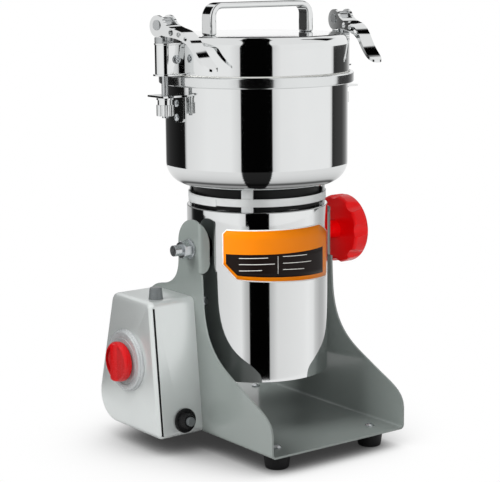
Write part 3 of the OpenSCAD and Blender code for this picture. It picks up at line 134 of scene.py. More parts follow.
finishes = {
    # Mirror-polished stainless steel, buffed on a wheel: a nearly perfect mirror with faint smears
    "polished_steel": makeFinish({
        "name": "mirrorPolishedStainless", "tint": "#e7e8e8", "shade": "#dfe1e1", "metallic": 1.0,
        "low": 0.03, "high": 0.07, "cloud": 70, "grain": 1.6, "draw": (1, 1, 14), "relief": 0.002}),
    # Satin stainless steel, drawn over fine abrasive: soft broad highlights along the grain
    "satin_steel": makeFinish({
        "name": "satinStainless", "tint": "#c4c6c7", "shade": "#b1b4b5", "metallic": 1.0,
        "low": 0.18, "high": 0.32, "cloud": 25, "grain": 0.5, "draw": (1, 1, 12), "relief": 0.01}),
    # Bright zinc plating on screws, studs, bolts and washers: cool grey, slightly cloudy
    "plated_steel": makeFinish({
        "name": "brightZincPlating", "tint": "#d9dcde", "shade": "#bcc1c4", "metallic": 1.0,
        "low": 0.2, "high": 0.36, "cloud": 6, "grain": 0.4, "relief": 0.004}),
    # Blackened steel plate under a thin oxide: dull and dark
    "dark_steel": makeFinish({
        "name": "blackenedSteel", "tint": "#3b3e40", "shade": "#242628", "metallic": 0.85,
        "low": 0.35, "high": 0.5, "cloud": 12, "grain": 0.6, "relief": 0.02}),
    # Sand-cast aluminium: a pale matt skin with a fine pebble
    "cast_aluminium": makeFinish({
        "name": "sandCastAluminium", "tint": "#aeb1b2", "shade": "#8c8f91", "metallic": 1.0,
        "low": 0.4, "high": 0.6, "cloud": 10, "grain": 1.1, "relief": 0.12}),
    # Varnished steel laminations, 0.5 mm each, drawn 1 mm apart so that they show
    "laminated_steel": makeRibs({
        "name": "varnishedLaminations", "tint": "#5b5e60", "shade": "#8d9092", "along": "Z",
        "pitch": 1.0, "wander": 0.3, "rough": 0.45, "relief": 0.08}),
    # Enamelled copper wire, 0.6 mm, wound close: glossy brown-red ribs, drawn about 1.4 mm apart
    "copper": makeRibs({
        "name": "enamelledCopper", "tint": "#8a4322", "shade": "#c9713d", "along": "DIAGONAL",
        "pitch": 1.2, "wander": 1.0, "rough": 0.28, "relief": 0.25}),
    # Satin powder coat on folded steel sheet: grey-green with a fine orange peel about 1 mm across
    "painted_cradle": makeFinish({
        "name": "satinPowderCoat", "tint": "#818885", "shade": "#7a817e", "glint": 0.5, "coat": 0.15,
        "low": 0.14, "high": 0.2, "cloud": 80, "grain": 1.1, "relief": 0.012}),
    # Silver stoving enamel with a fine aluminium flake, drawn 0.5 mm across: pale, softly metallic
    "painted_box": makeFinish({
        "name": "silverStovingEnamel", "tint": "#ccd0cf", "shade": "#c4c8c7", "metallic": 0.6, "coat": 0.2,
        "low": 0.3, "high": 0.4, "cloud": 90, "grain": 0.5, "relief": 0.006}),
    # Injection-moulded ABS in red: deep colour under a glossy skin, pushed to a full red as painted light,
    # since the lamps barely reach the tilt knob
    "red_plastic": makeFinish({
        "name": "redAbsPaintedLight", "tint": "#f40006", "shade": "#ec0004", "glint": 0.3,
        "low": 0.18, "high": 0.28, "cloud": 30, "grain": 0.9, "relief": 0.006}),
    # The same moulding in mid grey, for the start button and the reset pin
    "grey_plastic": makeFinish({
        "name": "greyAbs", "tint": "#575b5c", "shade": "#505455",
        "low": 0.25, "high": 0.35, "cloud": 10, "grain": 0.7, "relief": 0.006}),
    # The knob of the timer, in the same moulding, its red darkened as painted shade, since the key lamp
    # lights that side strongly
    "redPaintedShade": makeFinish({
        "name": "redAbsPaintedShade", "tint": "#ae0208", "shade": "#a50106", "glint": 0.35,
        "low": 0.2, "high": 0.3, "cloud": 30, "grain": 0.9, "relief": 0.006}),
    # ABS with a silver lacquer, for the dial plate
    "dial_plastic": makeFinish({
        "name": "silverLacqueredAbs", "tint": "#a8abac", "shade": "#9fa2a3", "metallic": 0.3, "coat": 0.3,
        "low": 0.2, "high": 0.3, "cloud": 20, "grain": 0.6, "relief": 0.004}),
    # Black nylon, glass filled: a dense black with a slight sheen
    "black_plastic": makeFinish({
        "name": "blackNylon", "tint": "#0f0f10", "shade": "#0a0a0b", "glint": 0.2,
        "low": 0.22, "high": 0.34, "cloud": 12, "grain": 0.8, "relief": 0.01}),
    # Undyed nylon: milky and slightly waxy
    "white_nylon": makeFinish({
        "name": "naturalNylon", "tint": "#e3e1d8", "shade": "#d8d6cc",
        "low": 0.4, "high": 0.5, "cloud": 15, "grain": 1.0, "relief": 0.01}),
    # Pressed graphite: dark grey and dusty
    "graphite": makeFinish({
        "name": "pressedGraphite", "tint": "#3a3a3b", "shade": "#2c2c2d",
        "low": 0.45, "high": 0.6, "cloud": 5, "grain": 0.4, "relief": 0.02}),
    # Moulded rubber feet: matt black with a slight bloom
    "black_rubber": makeFinish({
        "name": "mattBlackRubber", "tint": "#111112", "shade": "#0b0b0c", "glint": 0.2,
        "low": 0.45, "high": 0.6, "cloud": 8, "grain": 0.9, "relief": 0.03}),
    # Food-grade silicone: milky white, matt
    "white_rubber": makeFinish({
        "name": "whiteSilicone", "tint": "#ecece8", "shade": "#e2e2de",
        "low": 0.4, "high": 0.5, "cloud": 15, "grain": 1.0, "relief": 0.02}),
    # Nitrile lip seal: brown-red, matt
    "seal_rubber": makeFinish({
        "name": "brownNitrile", "tint": "#55291c", "shade": "#48221a",
        "low": 0.45, "high": 0.6, "cloud": 8, "grain": 0.8, "relief": 0.02}),
    # Rolled and polished steel band: a mirror gone slightly soft
    "rolledRim": makeFinish({
        "name": "rolledPolishedStainless", "tint": "#e2e4e4", "shade": "#d9dbdb", "metallic": 1.0,
        "low": 0.1, "high": 0.15, "cloud": 40, "grain": 1.2, "draw": (1, 1, 10), "relief": 0.002}),
    # Blasted stainless bars of the neck: a soft pale grey without mirrored shapes
    "blastedSteel": makeFinish({
        "name": "blastedStainless", "tint": "#eceeee", "shade": "#dadddd", "metallic": 0.55,
        "low": 0.42, "high": 0.55, "cloud": 14, "grain": 0.5, "relief": 0.01}),
    # Painted shade: a matt and very dark black put inside the neck and in the box's seam, standing for the
    # shade there
    "paintedShade": makeFinish({
        "name": "blackPaintedShade", "tint": "#101112", "shade": "#0b0c0c", "glint": 0.25,
        "low": 0.4, "high": 0.55, "cloud": 20, "grain": 0.8, "relief": 0.01}),
    # Gloss-laminated printed vinyl on the drum, in its three inks
    "whiteInk": makeFinish({
        "name": "whiteVinyl", "tint": "#f3f2ee", "shade": "#eeede9", "glint": 0.2,
        "low": 0.3, "high": 0.4, "cloud": 30, "grain": 0.6, "relief": 0.002}),
    "orangeInk": makeFinish({
        "name": "orangeVinyl", "tint": "#ef8400", "shade": "#eb7f00", "glint": 0.15,
        "low": 0.3, "high": 0.4, "cloud": 30, "grain": 0.6, "relief": 0.002}),
    "darkInk": makeFinish({
        "name": "darkBrownVinyl", "tint": "#19110e", "shade": "#160e0c", "glint": 0.12,
        "low": 0.3, "high": 0.4, "cloud": 30, "grain": 0.6, "relief": 0.002}),
}

for name, piece in nodes.items():
    piece.data.materials.clear()
    piece.data.materials.append(finishes[slotOf[name]])


# Mesh from a grid of points (rows, columns, xyz), which may close on itself either way. Each face
# joins a point to the ones after it in its row, in its column and across.
def gridPiece(name, grid, closeRows=False, closeColumns=False):
    rows, columns = grid.shape[:2]
    row, column = np.meshgrid(np.arange(rows if closeRows else rows - 1),
                              np.arange(columns if closeColumns else columns - 1), indexing="ij")
    nextRow, nextColumn = (row + 1) % rows, (column + 1) % columns
    faces = np.stack([row * columns + column, nextRow * columns + column,
                      nextRow * columns + nextColumn, row * columns + nextColumn], axis=2)
    mesh = bpy.data.meshes.new(name)
    mesh.from_pydata(grid.reshape(-1, 3).tolist(), [], faces.reshape(-1, 4).tolist())
    mesh.validate()
    piece = bpy.data.objects.new(name, mesh)
    bpy.context.scene.collection.objects.link(piece)
    smoothPiece(piece, 35)
    return piece


def smoothPiece(piece, sharp):  # smooth shading, with edges sharper than this many degrees kept crisp
    mesh = piece.data
    mesh.polygons.foreach_set("use_smooth", np.ones(len(mesh.polygons), bool))
    mesh.set_sharp_from_angle(angle=math.radians(sharp))


# Grid of points round the axis: angle in degrees from the frame's x, distance and height in mm, each of
# them a column, a row, a grid or one number. A point's x is the axis's plus the distance times the
# angle's cosine, and its y the same with the sine.
def roundGrid(angle, away, height):
    turn = np.radians(angle)
    return np.stack(np.broadcast_arrays(
        axis.x + away * mm * np.cos(turn), axis.y + away * mm * np.sin(turn), height * mm), axis=2)


# Turned piece: a closed outline of (distance, height) points in mm, carried once round the axis by
# steps of one degree.
def turnedPiece(name, outline):
    away, height = np.array(outline, float).T
    return gridPiece(name, roundGrid(np.arange(360)[:, None], away, height), True, True)


# Arc of an outline: centre plus radius times (cos a, sin a), for a from first to last in degrees.
def arc(centre, radius, first, last, steps):
    a = np.radians(np.linspace(first, last, steps))
    return [(centre[0] + radius * c, centre[1] + radius * s) for c, s in zip(np.cos(a), np.sin(a))]


# Curved plate: a section of (distance, height) corners in mm, carried round the axis from one angle to
# another in so many steps, its ends closed on their own middles.
def platePiece(name, corners, first, last, steps):
    away, height = np.array(corners, float).T
    plate = roundGrid(np.linspace(first, last, steps)[:, None], away, height)
    ends = [np.repeat(plate[i].mean(axis=0)[None, None], len(corners), axis=1) for i in (0, -1)]
    piece = gridPiece(name, np.concatenate([ends[0], plate, ends[1]]), False, True)
    mergeClose(piece)
    return piece


# Joins points that coincide, drops what has no face left, and where asked joins faces that lie in one
# plane to within so many degrees.
def mergeClose(piece, flat=0.0):
    work = bmesh.new()
    work.from_mesh(piece.data)
    bmesh.ops.remove_doubles(work, verts=work.verts, dist=0.002 * mm)
    if flat:
        bmesh.ops.dissolve_limit(work, angle_limit=math.radians(flat), verts=work.verts, edges=work.edges)
    bmesh.ops.delete(work, geom=[e for e in work.edges if not e.link_faces], context="EDGES")
    work.to_mesh(piece.data)
    work.free()


def wear(piece, slot, body, finish=None):  # gives a piece the finish of its slot, or the finish named, and its body
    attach(piece, body)
    piece.data.materials.clear()
    piece.data.materials.append(finishes[finish or slot])
    return piece


def standIn(piece, name, finish=None):  # the piece stands for a CAD node
    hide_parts(name)
    return wear(piece, slotOf[name], bodyOf[name], finish)


# Painted shade: black paint on the faces that a test picks from their middles, normals and distance from the
# axis.
def paintShade(piece, test):
    faces = piece.data.polygons
    middle, normal = np.empty(3 * len(faces)), np.empty(3 * len(faces))
    faces.foreach_get("center", middle)
    faces.foreach_get("normal", normal)
    middle, normal = middle.reshape(-1, 3), normal.reshape(-1, 3)
    picked = test(middle, normal, np.hypot(middle[:, 0] - axis.x, middle[:, 1] - axis.y))
    piece.data.materials.append(finishes["paintedShade"])
    faces.foreach_set("material_index", picked.astype(np.int32))


# Sizes of a turned CAD node, in mm to a thousandth: its largest distance from the axis, its lowest point
# and its highest.
def turnedSizes(name):
    vertices = nodes[name].data.vertices
    points = np.empty(3 * len(vertices))
    vertices.foreach_get("co", points)
    x, y, z = points.reshape(-1, 3).T
    sizes = {"r": np.hypot(x - axis.x, y - axis.y).max(), "low": z.min(), "top": z.max()}
    return {key: round(size / mm, 3) for key, size in sizes.items()}


print("bowl, lid, rim and drum")

# Further sizes in mm: wall, hole in the floor, and the rounding and chamfer of corners and edges.
bowl = {**turnedSizes("bowl"), "wall": 1.2, "corner": 20.0, "hub": 24.0, "chamfer": 0.3}
foot = (bowl["r"] - bowl["corner"], bowl["low"] + bowl["corner"])
bowlIn = bowl["r"] - bowl["wall"]
bowlOutline = [
    (bowl["hub"], bowl["low"]), *arc(foot, bowl["corner"], -90, 0, 28),
    (bowl["r"], bowl["top"] - bowl["chamfer"]), (bowl["r"] - bowl["chamfer"], bowl["top"]),
    (bowlIn + bowl["chamfer"], bowl["top"]), (bowlIn, bowl["top"] - bowl["chamfer"]),
    *arc(foot, bowl["corner"] - bowl["wall"], 0, -90, 28), (bowl["hub"], bowl["low"] + bowl["wall"])]
standIn(turnedPiece("bowlShell", bowlOutline), "bowl")

lid = {**turnedSizes("lid_shell"), "wall": 1.2, "corner": 9.0, "chamfer": 0.3}
crown = (lid["r"] - lid["corner"], lid["top"] - lid["corner"])
lidOutline = [
    (0, lid["top"]), *arc(crown, lid["corner"], 90, 0, 24),
    (lid["r"], lid["low"] + lid["chamfer"]), (lid["r"] - lid["chamfer"], lid["low"]),
    (lid["r"] - lid["wall"], lid["low"]),
    *arc(crown, lid["corner"] - lid["wall"], 0, 90, 24), (0, lid["top"] - lid["wall"])]
standIn(turnedPiece("lidShell", lidOutline), "lid_shell")

rim = {**turnedSizes("bowl_rim"), "edge": 1.4}
rimOut = rim["r"] - rim["edge"]
rimOutline = [
    (bowl["r"], rim["top"]), *arc((rimOut, rim["top"] - rim["edge"]), rim["edge"], 90, 0, 8),
    *arc((rimOut, rim["low"] + rim["edge"]), rim["edge"], 0, -90, 8), (bowl["r"], rim["low"])]
standIn(turnedPiece("rimBand", rimOutline), "bowl_rim", "rolledRim")

drum = {**turnedSizes("drum_shell"), "wall": 1.2, "edge": 0.9, "lip": 51.2, "chamfer": 0.3}
drumIn, shoulder = drum["r"] - drum["wall"], (drum["r"] - drum["edge"], drum["top"] - drum["edge"])
drumOutline = [
    (drum["lip"], drum["top"]), *arc(shoulder, drum["edge"], 90, 0, 8),
    (drum["r"], drum["low"] + drum["chamfer"]), (drum["r"] - drum["chamfer"], drum["low"]),
    (drumIn + drum["chamfer"], drum["low"]), (drumIn, drum["low"] + drum["chamfer"]),
    (drumIn, drum["top"] - drum["wall"]), (drum["lip"], drum["top"] - drum["wall"])]
drumShell = standIn(turnedPiece("drumShell", drumOutline), "drum_shell")

# The drum's flat top and the bracket under its hole lie in the dark inside the neck, and are painted black as
# painted shade.
paintShade(drumShell, lambda middle, normal, reach: (normal[:, 2] > 0.9) & (reach < drumIn * mm))
nodes["motor_top_bracket"].data.materials[0] = finishes["paintedShade"]

# Tabs inside the drum's foot, which its cover is screwed to from below.
tabs = {"middles": (30, 150, 270), "half": 6, "in": 51.0, "out": 63.6, "thick": 2.0, "steps": 7}
tabLow = turnedSizes("drum_cover")["top"]
tabCorners = [(tabs["in"], tabLow), (tabs["out"], tabLow),
              (tabs["out"], tabLow + tabs["thick"]), (tabs["in"], tabLow + tabs["thick"])]
for index, middle in enumerate(tabs["middles"]):
    tab = platePiece("coverTab%d" % (index + 1), tabCorners,
                     middle - tabs["half"], middle + tabs["half"], tabs["steps"])
    wear(tab, "polished_steel", bodyOf["drum_shell"])

# Dark plates inside the neck, as painted shade
print("dark guard inside the neck")

# Painted shade: four dark curved plates between the neck's straps, which screen the opening under the bowl
# and stand for the shade inside the neck.
shadeScreen = {"out": 58.0, "in": 57.0, "gap": 0.4, "straps": (45, 135, 225, 315), "strapHalf": 5.4, "steps": 33}
neck = turnedSizes("neck_frame")
shadeScreenLow, shadeScreenTop = neck["low"] + shadeScreen["gap"], neck["top"] - shadeScreen["gap"]
shadeScreenCorners = [(shadeScreen["out"], shadeScreenLow), (shadeScreen["out"], shadeScreenTop),
                (shadeScreen["in"], shadeScreenTop), (shadeScreen["in"], shadeScreenLow)]
strapAngle = math.degrees(math.asin(shadeScreen["strapHalf"] / shadeScreen["out"]))
for index, strap in enumerate(shadeScreen["straps"]):
    plate = platePiece("neckShadeScreen%d" % (index + 1), shadeScreenCorners,
                       strap + strapAngle, strap + 90 - strapAngle, shadeScreen["steps"])
    wear(plate, "dark_steel", bodyOf["neck_frame"], "paintedShade")

print("rounded copies of the smaller parts")

# Seam down the switch box's sloping front, in mm: its middle and half width; where it ends behind,
# below and above; the front's y at one height, and its slope; and the skin, which is how far behind
# the front a face still counts as the front.
seam = {"x": -102.6, "half": 0.95, "back": 12.0, "low": 20.3, "high": 131.0,
        "frontY": -1.38, "frontZ": 63.34, "slope": 0.1005, "skin": 0.4}


def seamFaces(middle, normal, reach):  # the seam's walls and floor, painted black as the shade in the gap
    x, y, z = middle.T / mm
    skin = seam["frontY"] + seam["slope"] * (z - seam["frontZ"]) + seam["skin"]
    return ((np.abs(x - seam["x"]) < seam["half"]) & (y < seam["back"]) & (z > seam["low"]) &
            (z < seam["high"]) & ((normal[:, 1] > -0.9) | (y > skin)))


def innerFaces(middle, normal, reach):  # the neck's faces towards the axis, painted black as the shade under the bowl
    facing = normal[:, 0] * (middle[:, 0] - axis.x) + normal[:, 1] * (middle[:, 1] - axis.y)
    return facing < -0.5 * reach


# Finishes other than the slot's own, and the test for the faces that are painted black as painted shade
# The timer's knob takes the red darkened as painted shade
ownFinish = {"neck_frame": "blastedSteel", "timer_knob": "redPaintedShade"}
shadeFaces = {"neck_frame": innerFaces, "switch_box": seamFaces}

# Edge rounding in mm of each visible part that keeps the solid's own shape.
rounding = {
    "base_cradle": 0.5, "switch_box": 0.2, "dial_plate": 0.3, "timer_knob": 0.5, "tilt_knob": 0.5,
    "start_button": 0.3, "breaker_collar": 0.3, "breaker_pin": 0.2, "cord_gland": 0.3, "rubber_feet": 0.6,
    "pivot_nut": 0.3, "pivot_washers": 0.3, "pivot_spacers": 0.3, "pivot_studs": 0.2, "neck_frame": 0.25,
    "bowl_brackets": 0.25, "bowl_hub": 0.4, "lid_handle": 1.7, "lid_lugs": 0.2, "lug_saddles": 0.4,
    "lid_gasket": 0.3, "cam_lever_left": 0.5, "cam_lever_right": 0.5, "draw_bolt_left": 0.2,
    "draw_bolt_right": 0.2, "adjusting_nut_left": 0.25, "adjusting_nut_right": 0.25,
    "lever_pin_left": 0.2, "lever_pin_right": 0.2, "drum_cover": 0.2, "head_screws": 0.12,
    "lug_screws": 0.12, "base_screws": 0.12}

# Degrees within which faces count as one plane, above which an edge is crisp, and above which it is
# rounded; and the mm above which the rounding takes three segments instead of two.
edges = {"flat": 1.0, "crisp": 30, "rounded": 32, "large": 0.3}
for name, radius in rounding.items():
    piece = bpy.data.objects.new(name + ".rounded", nodes[name].data.copy())
    bpy.context.scene.collection.objects.link(piece)
    mergeClose(piece, edges["flat"])
    smoothPiece(piece, edges["crisp"])
    bevel = piece.modifiers.new("roundedEdges", "BEVEL")
    bevel.width, bevel.segments = radius * mm, 3 if radius > edges["large"] else 2
    bevel.limit_method, bevel.angle_limit = "ANGLE", math.radians(edges["rounded"])
    bevel.harden_normals = False
    standIn(piece, name, ownFinish.get(name))
    # Painted shade: black on the faces that the tests pick
    if name in shadeFaces:
        paintShade(piece, shadeFaces[name])

print("label")

# Printed films round the drum's front. Corners are (degrees from the camera's side, height in mm). The
# lowest film's face is "lift" mm off the drum, and each one on top is "layer" mm higher.
label = {"film": 0.12, "lift": 0.13, "layer": 0.06, "steps": 72, "rows": 6, "border": 1.1,
         "top": [(-29.0, 197.2), (-25.0, 201.6), (59.6, 202.1), (78.0, 192.0)],
         "bottom": [(-29.0, 169.8), (-16.1, 156.0), (66.0, 151.2), (74.5, 150.6), (78.0, 153.5)],
         "darkTop": [(-25.8, 179.4), (66.0, 180.0)],
         "darkBottom": [(-25.8, 170.6), (-16.0, 160.4), (66.0, 156.2)]}


# One film: for each angle between the ends, heights run evenly from the lower edge line to the upper
# one, both drawn in by "inset" mm.
def filmPiece(name, bottom, top, inset, layer, ink):
    side = np.degrees(inset / drum["r"])
    turn = np.linspace(bottom[0][0] + side, bottom[-1][0] - side, label["steps"])[:, None]
    low = np.interp(turn, *zip(*bottom)) + inset
    high = np.interp(turn, *zip(*top)) - inset
    height = low + (high - low) * np.linspace(0, 1, label["rows"])[None, :]
    face = drum["r"] + label["lift"] + layer * label["layer"]
    piece = gridPiece(name, roundGrid(cameraSide + turn, face, height))
    film = piece.modifiers.new("film", "SOLIDIFY")
    film.thickness, film.offset = label["film"] * mm, -1.0
    return wear(piece, "dial_plastic", bodyOf["drum_shell"], ink)


filmPiece("labelBorder", label["bottom"], label["top"], 0.0, 0, "whiteInk")
filmPiece("labelField", label["bottom"], label["top"], label["border"], 1, "orangeInk")
filmPiece("labelPanel", label["darkBottom"], label["darkTop"], 0.0, 2, "darkInk")

# Pale ruled bars and a divider on the dark panel, where such a label has its lines of print:
# first angle, height there, last angle, height there, thickness in mm.
ruled = [(-14.7, 175.9, 8.2, 176.4, 0.5), (-14.8, 170.4, 13.7, 170.8, 0.5), (-14.8, 164.7, 3.4, 165.3, 0.5),
         (20.4, 177.0, 43.0, 176.2, 0.5), (20.3, 171.0, 48.0, 169.6, 0.5), (20.3, 165.3, 40.0, 164.0, 0.5),
         (16.1, 161.9, 16.4, 161.9, 16.0)]
for index, (first, low, last, lowEnd, thick) in enumerate(ruled):
    filmPiece("labelBar%d" % (index + 1), [(first, low), (last, lowEnd)],
              [(first, low + thick), (last, lowEnd + thick)], 0.0, 3, "whiteInk")

print("camera and studio")


def outward(angle, rise=0.0):  # unit vector from the axis, by degrees from the frame's x and above level
    flat, lift = math.radians(angle), math.radians(rise)
    return Vector((math.cos(flat) * math.cos(lift), math.sin(flat) * math.cos(lift), math.sin(lift)))


# Camera: distance from the axis, height and sensor in mm, pitch and roll in degrees, and the focal
# length, the optical centre and the frame in pixels.
view = {"distance": 1443.75, "height": 440.1, "pitch": -10.15, "roll": -0.42,
        "focal": 1596.1, "centre": (257.45, 239.74), "frame": (500, 482), "sensor": 36.0}
towards, roll = -outward(cameraSide, -view["pitch"]), math.radians(view["roll"])
right = towards.cross(Vector((0, 0, 1))).normalized()
up = right.cross(towards)
camera = bpy.data.objects.new("camera", bpy.data.cameras.new("camera"))
bpy.context.scene.collection.objects.link(camera)
bpy.context.scene.camera = camera
lens = camera.data
lens.sensor_fit, lens.sensor_width = "HORIZONTAL", view["sensor"]
lens.lens = view["focal"] * view["sensor"] / view["frame"][0]
lens.shift_x = (view["frame"][0] / 2 - view["centre"][0]) / view["frame"][0]
lens.shift_y = (view["centre"][1] - view["frame"][1] / 2) / view["frame"][0]
lens.clip_start, lens.clip_end = 0.01, 100
turned = Matrix((right * math.cos(roll) + up * math.sin(roll),
                 -right * math.sin(roll) + up * math.cos(roll), -towards))
camera.matrix_world = turned.transposed().to_4x4()
camera.location = axis + outward(cameraSide) * view["distance"] * mm
camera.location.z = view["height"] * mm

# The world's strength as light and as seen; the floor's grey, and its half size in metres; the metres
# from the origin between which its shadow fades out; how many metres off a thing still shades it; and
# the open shares of the sky at which the floor has its darkest white, "dark", and its full white.
studio = {"soft": 0.25, "white": 1.0, "floor": "#d8d8d7", "half": 6.0, "near": 0.3, "far": 0.6,
          "shade": 0.16, "shut": 0.05, "open": 0.92, "dark": 0.04}


# Rays that see the white studio: the camera's own, and those mirrored or let through by the object.
def sightRay(tree):
    path = node(tree, "ShaderNodeLightPath")
    seen = node(tree, "ShaderNodeMath", {"operation": "MAXIMUM"}, {
        0: path.outputs["Is Camera Ray"], 1: path.outputs["Is Glossy Ray"]})
    return node(tree, "ShaderNodeMath", {"operation": "MAXIMUM"}, {
        0: seen.outputs[0], 1: path.outputs["Is Transmission Ray"]}).outputs[0]


world = bpy.data.worlds.new("studio")
bpy.context.scene.world = world
world.use_nodes = True
tree = world.node_tree
tree.nodes.clear()
strength = node(tree, "ShaderNodeMapRange", inputs={
    "Value": sightRay(tree), "To Min": studio["soft"], "To Max": studio["white"]})
shine = node(tree, "ShaderNodeBackground", inputs={"Color": (1, 1, 1, 1), "Strength": strength.outputs[0]})
node(tree, "ShaderNodeOutputWorld", inputs={"Surface": shine.outputs[0]})

# Floor: matt and pale for light. Rays that see the studio get its white, greyed where the object shuts
# off the sky, so the soft shadow stays near the object, and plain white further out.
floorMaterial, tree = newMaterial("whiteSweep")
seen = sightRay(tree)
place = node(tree, "ShaderNodeTexCoord").outputs["Object"]
distance = node(tree, "ShaderNodeVectorMath", {"operation": "LENGTH"}, {0: place})
outer = node(tree, "ShaderNodeMapRange", {"interpolation_type": "SMOOTHSTEP"}, {
    "Value": distance.outputs["Value"], "From Min": studio["near"], "From Max": studio["far"]})
sky = node(tree, "ShaderNodeAmbientOcclusion", {"samples": 24, "only_local": False}, {
    "Distance": studio["shade"]})
lit = node(tree, "ShaderNodeMapRange", {"interpolation_type": "SMOOTHSTEP"}, {
    "Value": sky.outputs["AO"], "From Min": studio["shut"], "From Max": studio["open"],
    "To Min": studio["dark"], "To Max": 1.0})
bright = node(tree, "ShaderNodeMath", {"operation": "MAXIMUM"}, {0: lit.outputs[0], 1: outer.outputs[0]})
white = node(tree, "ShaderNodeEmission", inputs={"Color": (1, 1, 1, 1), "Strength": bright.outputs[0]})
matt = node(tree, "ShaderNodeBsdfDiffuse", inputs={"Color": linear(studio["floor"])})
both = node(tree, "ShaderNodeMixShader", inputs={0: seen, 1: matt.outputs[0], 2: white.outputs[0]})
node(tree, "ShaderNodeOutputMaterial", inputs={"Surface": both.outputs[0]})
floor = gridPiece("floor", studio["half"] * np.array([[[-1, 1, 0], [1, 1, 0]], [[-1, -1, 0], [1, -1, 0]]]))
floor.data.materials.append(floorMaterial)

# Softboxes, which the mirrors don't show: azimuth from the camera and elevation in degrees, distance
# and side in metres, watts
softboxes = {
    "keyLamp": {"turn": -68, "rise": 40, "away": 1.5, "side": 0.9, "power": 24},
    "frontLamp": {"turn": 8, "rise": 20, "away": 1.7, "side": 0.8, "power": 12},
    "topLamp": {"turn": 150, "rise": 72, "away": 1.4, "side": 1.0, "power": 5},
}
heart = axis + Vector((0, 0, 0.2))  # the middle of the mill, which they look at
for name, box in softboxes.items():
    lamp = bpy.data.lights.new(name, "AREA")
    lamp.size, lamp.energy, lamp.shape = box["side"], box["power"], "SQUARE"
    holder = bpy.data.objects.new(name, lamp)
    bpy.context.scene.collection.objects.link(holder)
    back = outward(cameraSide + box["turn"], box["rise"])
    holder.location = heart + back * box["away"]
    holder.rotation_euler = back.to_track_quat("Z", "Y").to_euler()
    holder.visible_glossy = False

# Snooted lamp in front of the object, aimed at the upper front of the switch box, with both in metres
snoot = {"from": (-0.10, -1.20, 0.34), "to": (-0.092, 0.0, 0.118), "power": 45, "cone": 7.5, "size": 0.03}
lamp = bpy.data.lights.new("boxLamp", "SPOT")
lamp.energy, lamp.spot_size, lamp.spot_blend = snoot["power"], math.radians(snoot["cone"]), 1.0
lamp.shadow_soft_size = snoot["size"]
holder = bpy.data.objects.new("boxLamp", lamp)
bpy.context.scene.collection.objects.link(holder)
holder.location = snoot["from"]
holder.rotation_euler = (Vector(snoot["from"]) - Vector(snoot["to"])).to_track_quat("Z", "Y").to_euler()
holder.visible_glossy = False

# Glowing paper that paints the reflections in the mirrors
print("paper round the object, for its mirrors")

# Glowing paper: each point emits its own grey and is seen only in mirrors, as painted reflections.
glowPaper, tree = newMaterial("glowingPaperReflection")
tone = node(tree, "ShaderNodeAttribute", {"attribute_name": "shade"})
glow = node(tree, "ShaderNodeEmission", inputs={"Color": tone.outputs["Color"], "Strength": 1.0})
node(tree, "ShaderNodeOutputMaterial", inputs={"Surface": glow.outputs[0]})


# Card that only mirrored rays see, glowing with a grey for every point, on a 0 to 255 scale, which paints the
# reflections in the mirrors.
def cardPiece(name, grid, greys):
    card = gridPiece(name, grid)
    value = linearLight(np.clip(np.broadcast_to(greys, grid.shape[:2]), 0, 255) / 255)
    shade = card.data.attributes.new("shade", "FLOAT", "POINT")
    shade.data.foreach_set("value", value.astype(np.float32).ravel())
    card.data.materials.append(glowPaper)
    card.visible_camera = card.visible_diffuse = card.visible_shadow = card.visible_transmission = False


glowPaperAway = 300  # mm from the axis to the rings of glowing paper
allRound = np.linspace(-180, 180, 721)[:, None]

# Upright rings of glowing paper round the axis, painted reflections: heights in mm, greys by azimuth from the
# camera in degrees.
rings = {
    "topRing": {"heights": (352, 520), "greys": [
        (-180, 255), (-140, 250), (-134, 90), (-108, 60), (-104, 225), (-90, 238), (-28, 254), (-19.4, 236),
        (-17, 228), (-16.4, 3), (16.5, 3), (17.1, 225), (26, 250), (95, 255), (180, 255)]},
    "highRing": {"heights": (189, 352), "greys": [
        (-180, 255), (-155, 200), (-143.5, 78), (-126, 51), (-109, 34), (-98, 23), (-90, 23), (-88, 200),
        (-85, 240), (-55, 254), (-28, 254), (-19.4, 236), (-17, 228), (-16.4, 3), (16.5, 3), (17.1, 225),
        (19, 235), (26, 250), (50, 255), (91, 255), (95, 225), (97.5, 52), (104, 61), (120, 72), (133.6, 133),
        (143.5, 193), (160, 245), (180, 255)]},
    "lowRing": {"heights": (2, 189), "greys": [
        (-180, 235), (-140, 200), (-126, 180), (-119, 60), (-112, 25), (-88, 22), (-83, 225), (-56, 238),
        (-39.7, 243), (-24, 249), (-17, 205), (-12.5, 190), (-11.2, 2), (16, 2), (17.3, 200), (28.7, 237),
        (71, 249), (81.5, 255), (92.8, 247), (100, 215), (112, 190), (122, 192), (149, 236), (180, 235)]},
}
for name, ring in rings.items():
    grid = roundGrid(cameraSide + allRound, glowPaperAway, np.array(ring["heights"]))
    cardPiece(name, grid, np.interp(allRound, *zip(*ring["greys"])))

# Dark glowing paper high behind the object, and a small one for the bend of the handle, all just inside the
# rings and painted reflections: turn from and to, heights in mm, grey.
backCards = {"backHighRight": (154, 180, 398, 520, 20), "backHighLeft": (-180, -158, 398, 520, 20),
             "bendCard": (-112, -101, 455, 520, 14)}
for name, (first, last, low, high, shade) in backCards.items():
    turn = np.linspace(first, last, 35)[:, None]
    cardPiece(name, roundGrid(cameraSide + turn, glowPaperAway - 2, np.array([low, high])), shade)
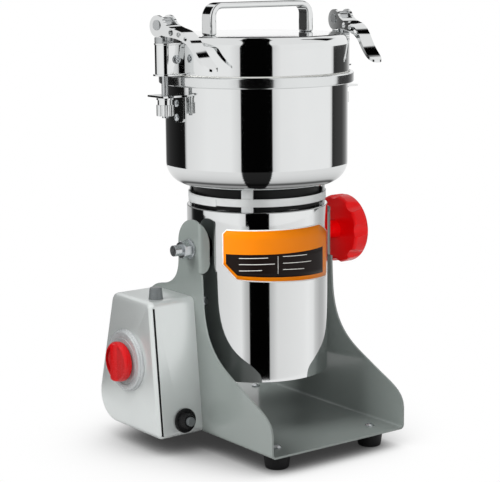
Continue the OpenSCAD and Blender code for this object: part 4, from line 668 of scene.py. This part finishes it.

# Collar of glowing paper below the bowl, a painted reflection: greys by distance from the axis in mm. In line
# with the camera they are dimmed in a strip, which is as wide as its two turns say at "even" mm and fans out
# further off.
collar = {"height": 217.4, "strip": (-9.4, 9.5), "dim": 0.16, "even": 80, "reach": (64.6, 240),
          "steps": (361, 140), "greys": [
              (64.6, 130), (66, 134), (70, 164), (73.7, 164), (78, 95), (80.7, 84), (84.6, 155), (89, 203),
              (93.9, 211), (99.4, 221), (105.8, 226), (115, 232), (139, 239), (240, 244)]}
turn = np.linspace(-180, 180, collar["steps"][0])[:, None]
away = np.linspace(*collar["reach"], collar["steps"][1])[None, :]
spread = 2 - collar["even"] / away
inLine = (turn > collar["strip"][0] * spread) & (turn < collar["strip"][1] * spread)
grey = np.interp(away, *zip(*collar["greys"])) * np.where(inLine, collar["dim"], 1.0)
cardPiece("collar", roundGrid(cameraSide + turn, away, collar["height"]), grey)

# Canopy of glowing paper, a painted reflection: a quarter round from the rings' top to a pole above the axis,
# in steps of "lean" from 0 to 90 degrees. One black strip, between two distances sideways in mm, crosses it
# from the front, over the pole, to the back, where it is narrower by the "slim" factors for its leans and
# ends at one lean. Each dark patch is (turns, their soft edges, leans, their soft edge, grey), in degrees.
canopy = {"foot": 520, "pole": 0.5, "steps": 91, "pale": 246, "black": 3, "strip": (-85, 86), "stripEnd": 25,
          "slim": [(25, 0.21), (57, 0.56), (90, 1.0)], "patches": [
              ((103, 121), (4, 8), (6, 27), 4, 2), ((104, 112), (4, 4), (30, 42), 3, 2),
              ((-130, -101), (8, 3), (-2, 16), 5, 10), ((160, 180), (5, 1), (-2, 16), 4, 20),
              ((-180, -158), (1, 6), (-2, 16), 4, 20)]}
lean = np.linspace(0, 90, canopy["steps"])[None, :]
away = np.maximum(glowPaperAway * np.cos(np.radians(lean)), canopy["pole"])
height = canopy["foot"] + glowPaperAway * np.sin(np.radians(lean))
grey = canopy["pale"]
for (first, last), (softFirst, softLast), (low, high), soft, shade in canopy["patches"]:
    across = (np.clip((allRound - first) / softFirst + 1, 0, 1) *
              np.clip((last - allRound) / softLast + 1, 0, 1))
    along = np.clip((lean - low) / soft + 1, 0, 1) * np.clip((high - lean) / soft + 1, 0, 1)
    grey = grey + (shade - grey) * across * along
behind = np.abs(allRound) > 90
slim = np.where(behind, np.interp(lean, *zip(*canopy["slim"])), 1.0)
sideways = away * np.sin(np.radians(allRound))
strip = (sideways > canopy["strip"][0] * slim) & (sideways < canopy["strip"][1] * slim)
grey = np.where(strip & (~behind | (lean > canopy["stripEnd"])), canopy["black"], grey)
cardPiece("canopy", roundGrid(cameraSide + allRound, away, height), grey)

bpy.context.scene.view_settings.view_transform = "Standard"
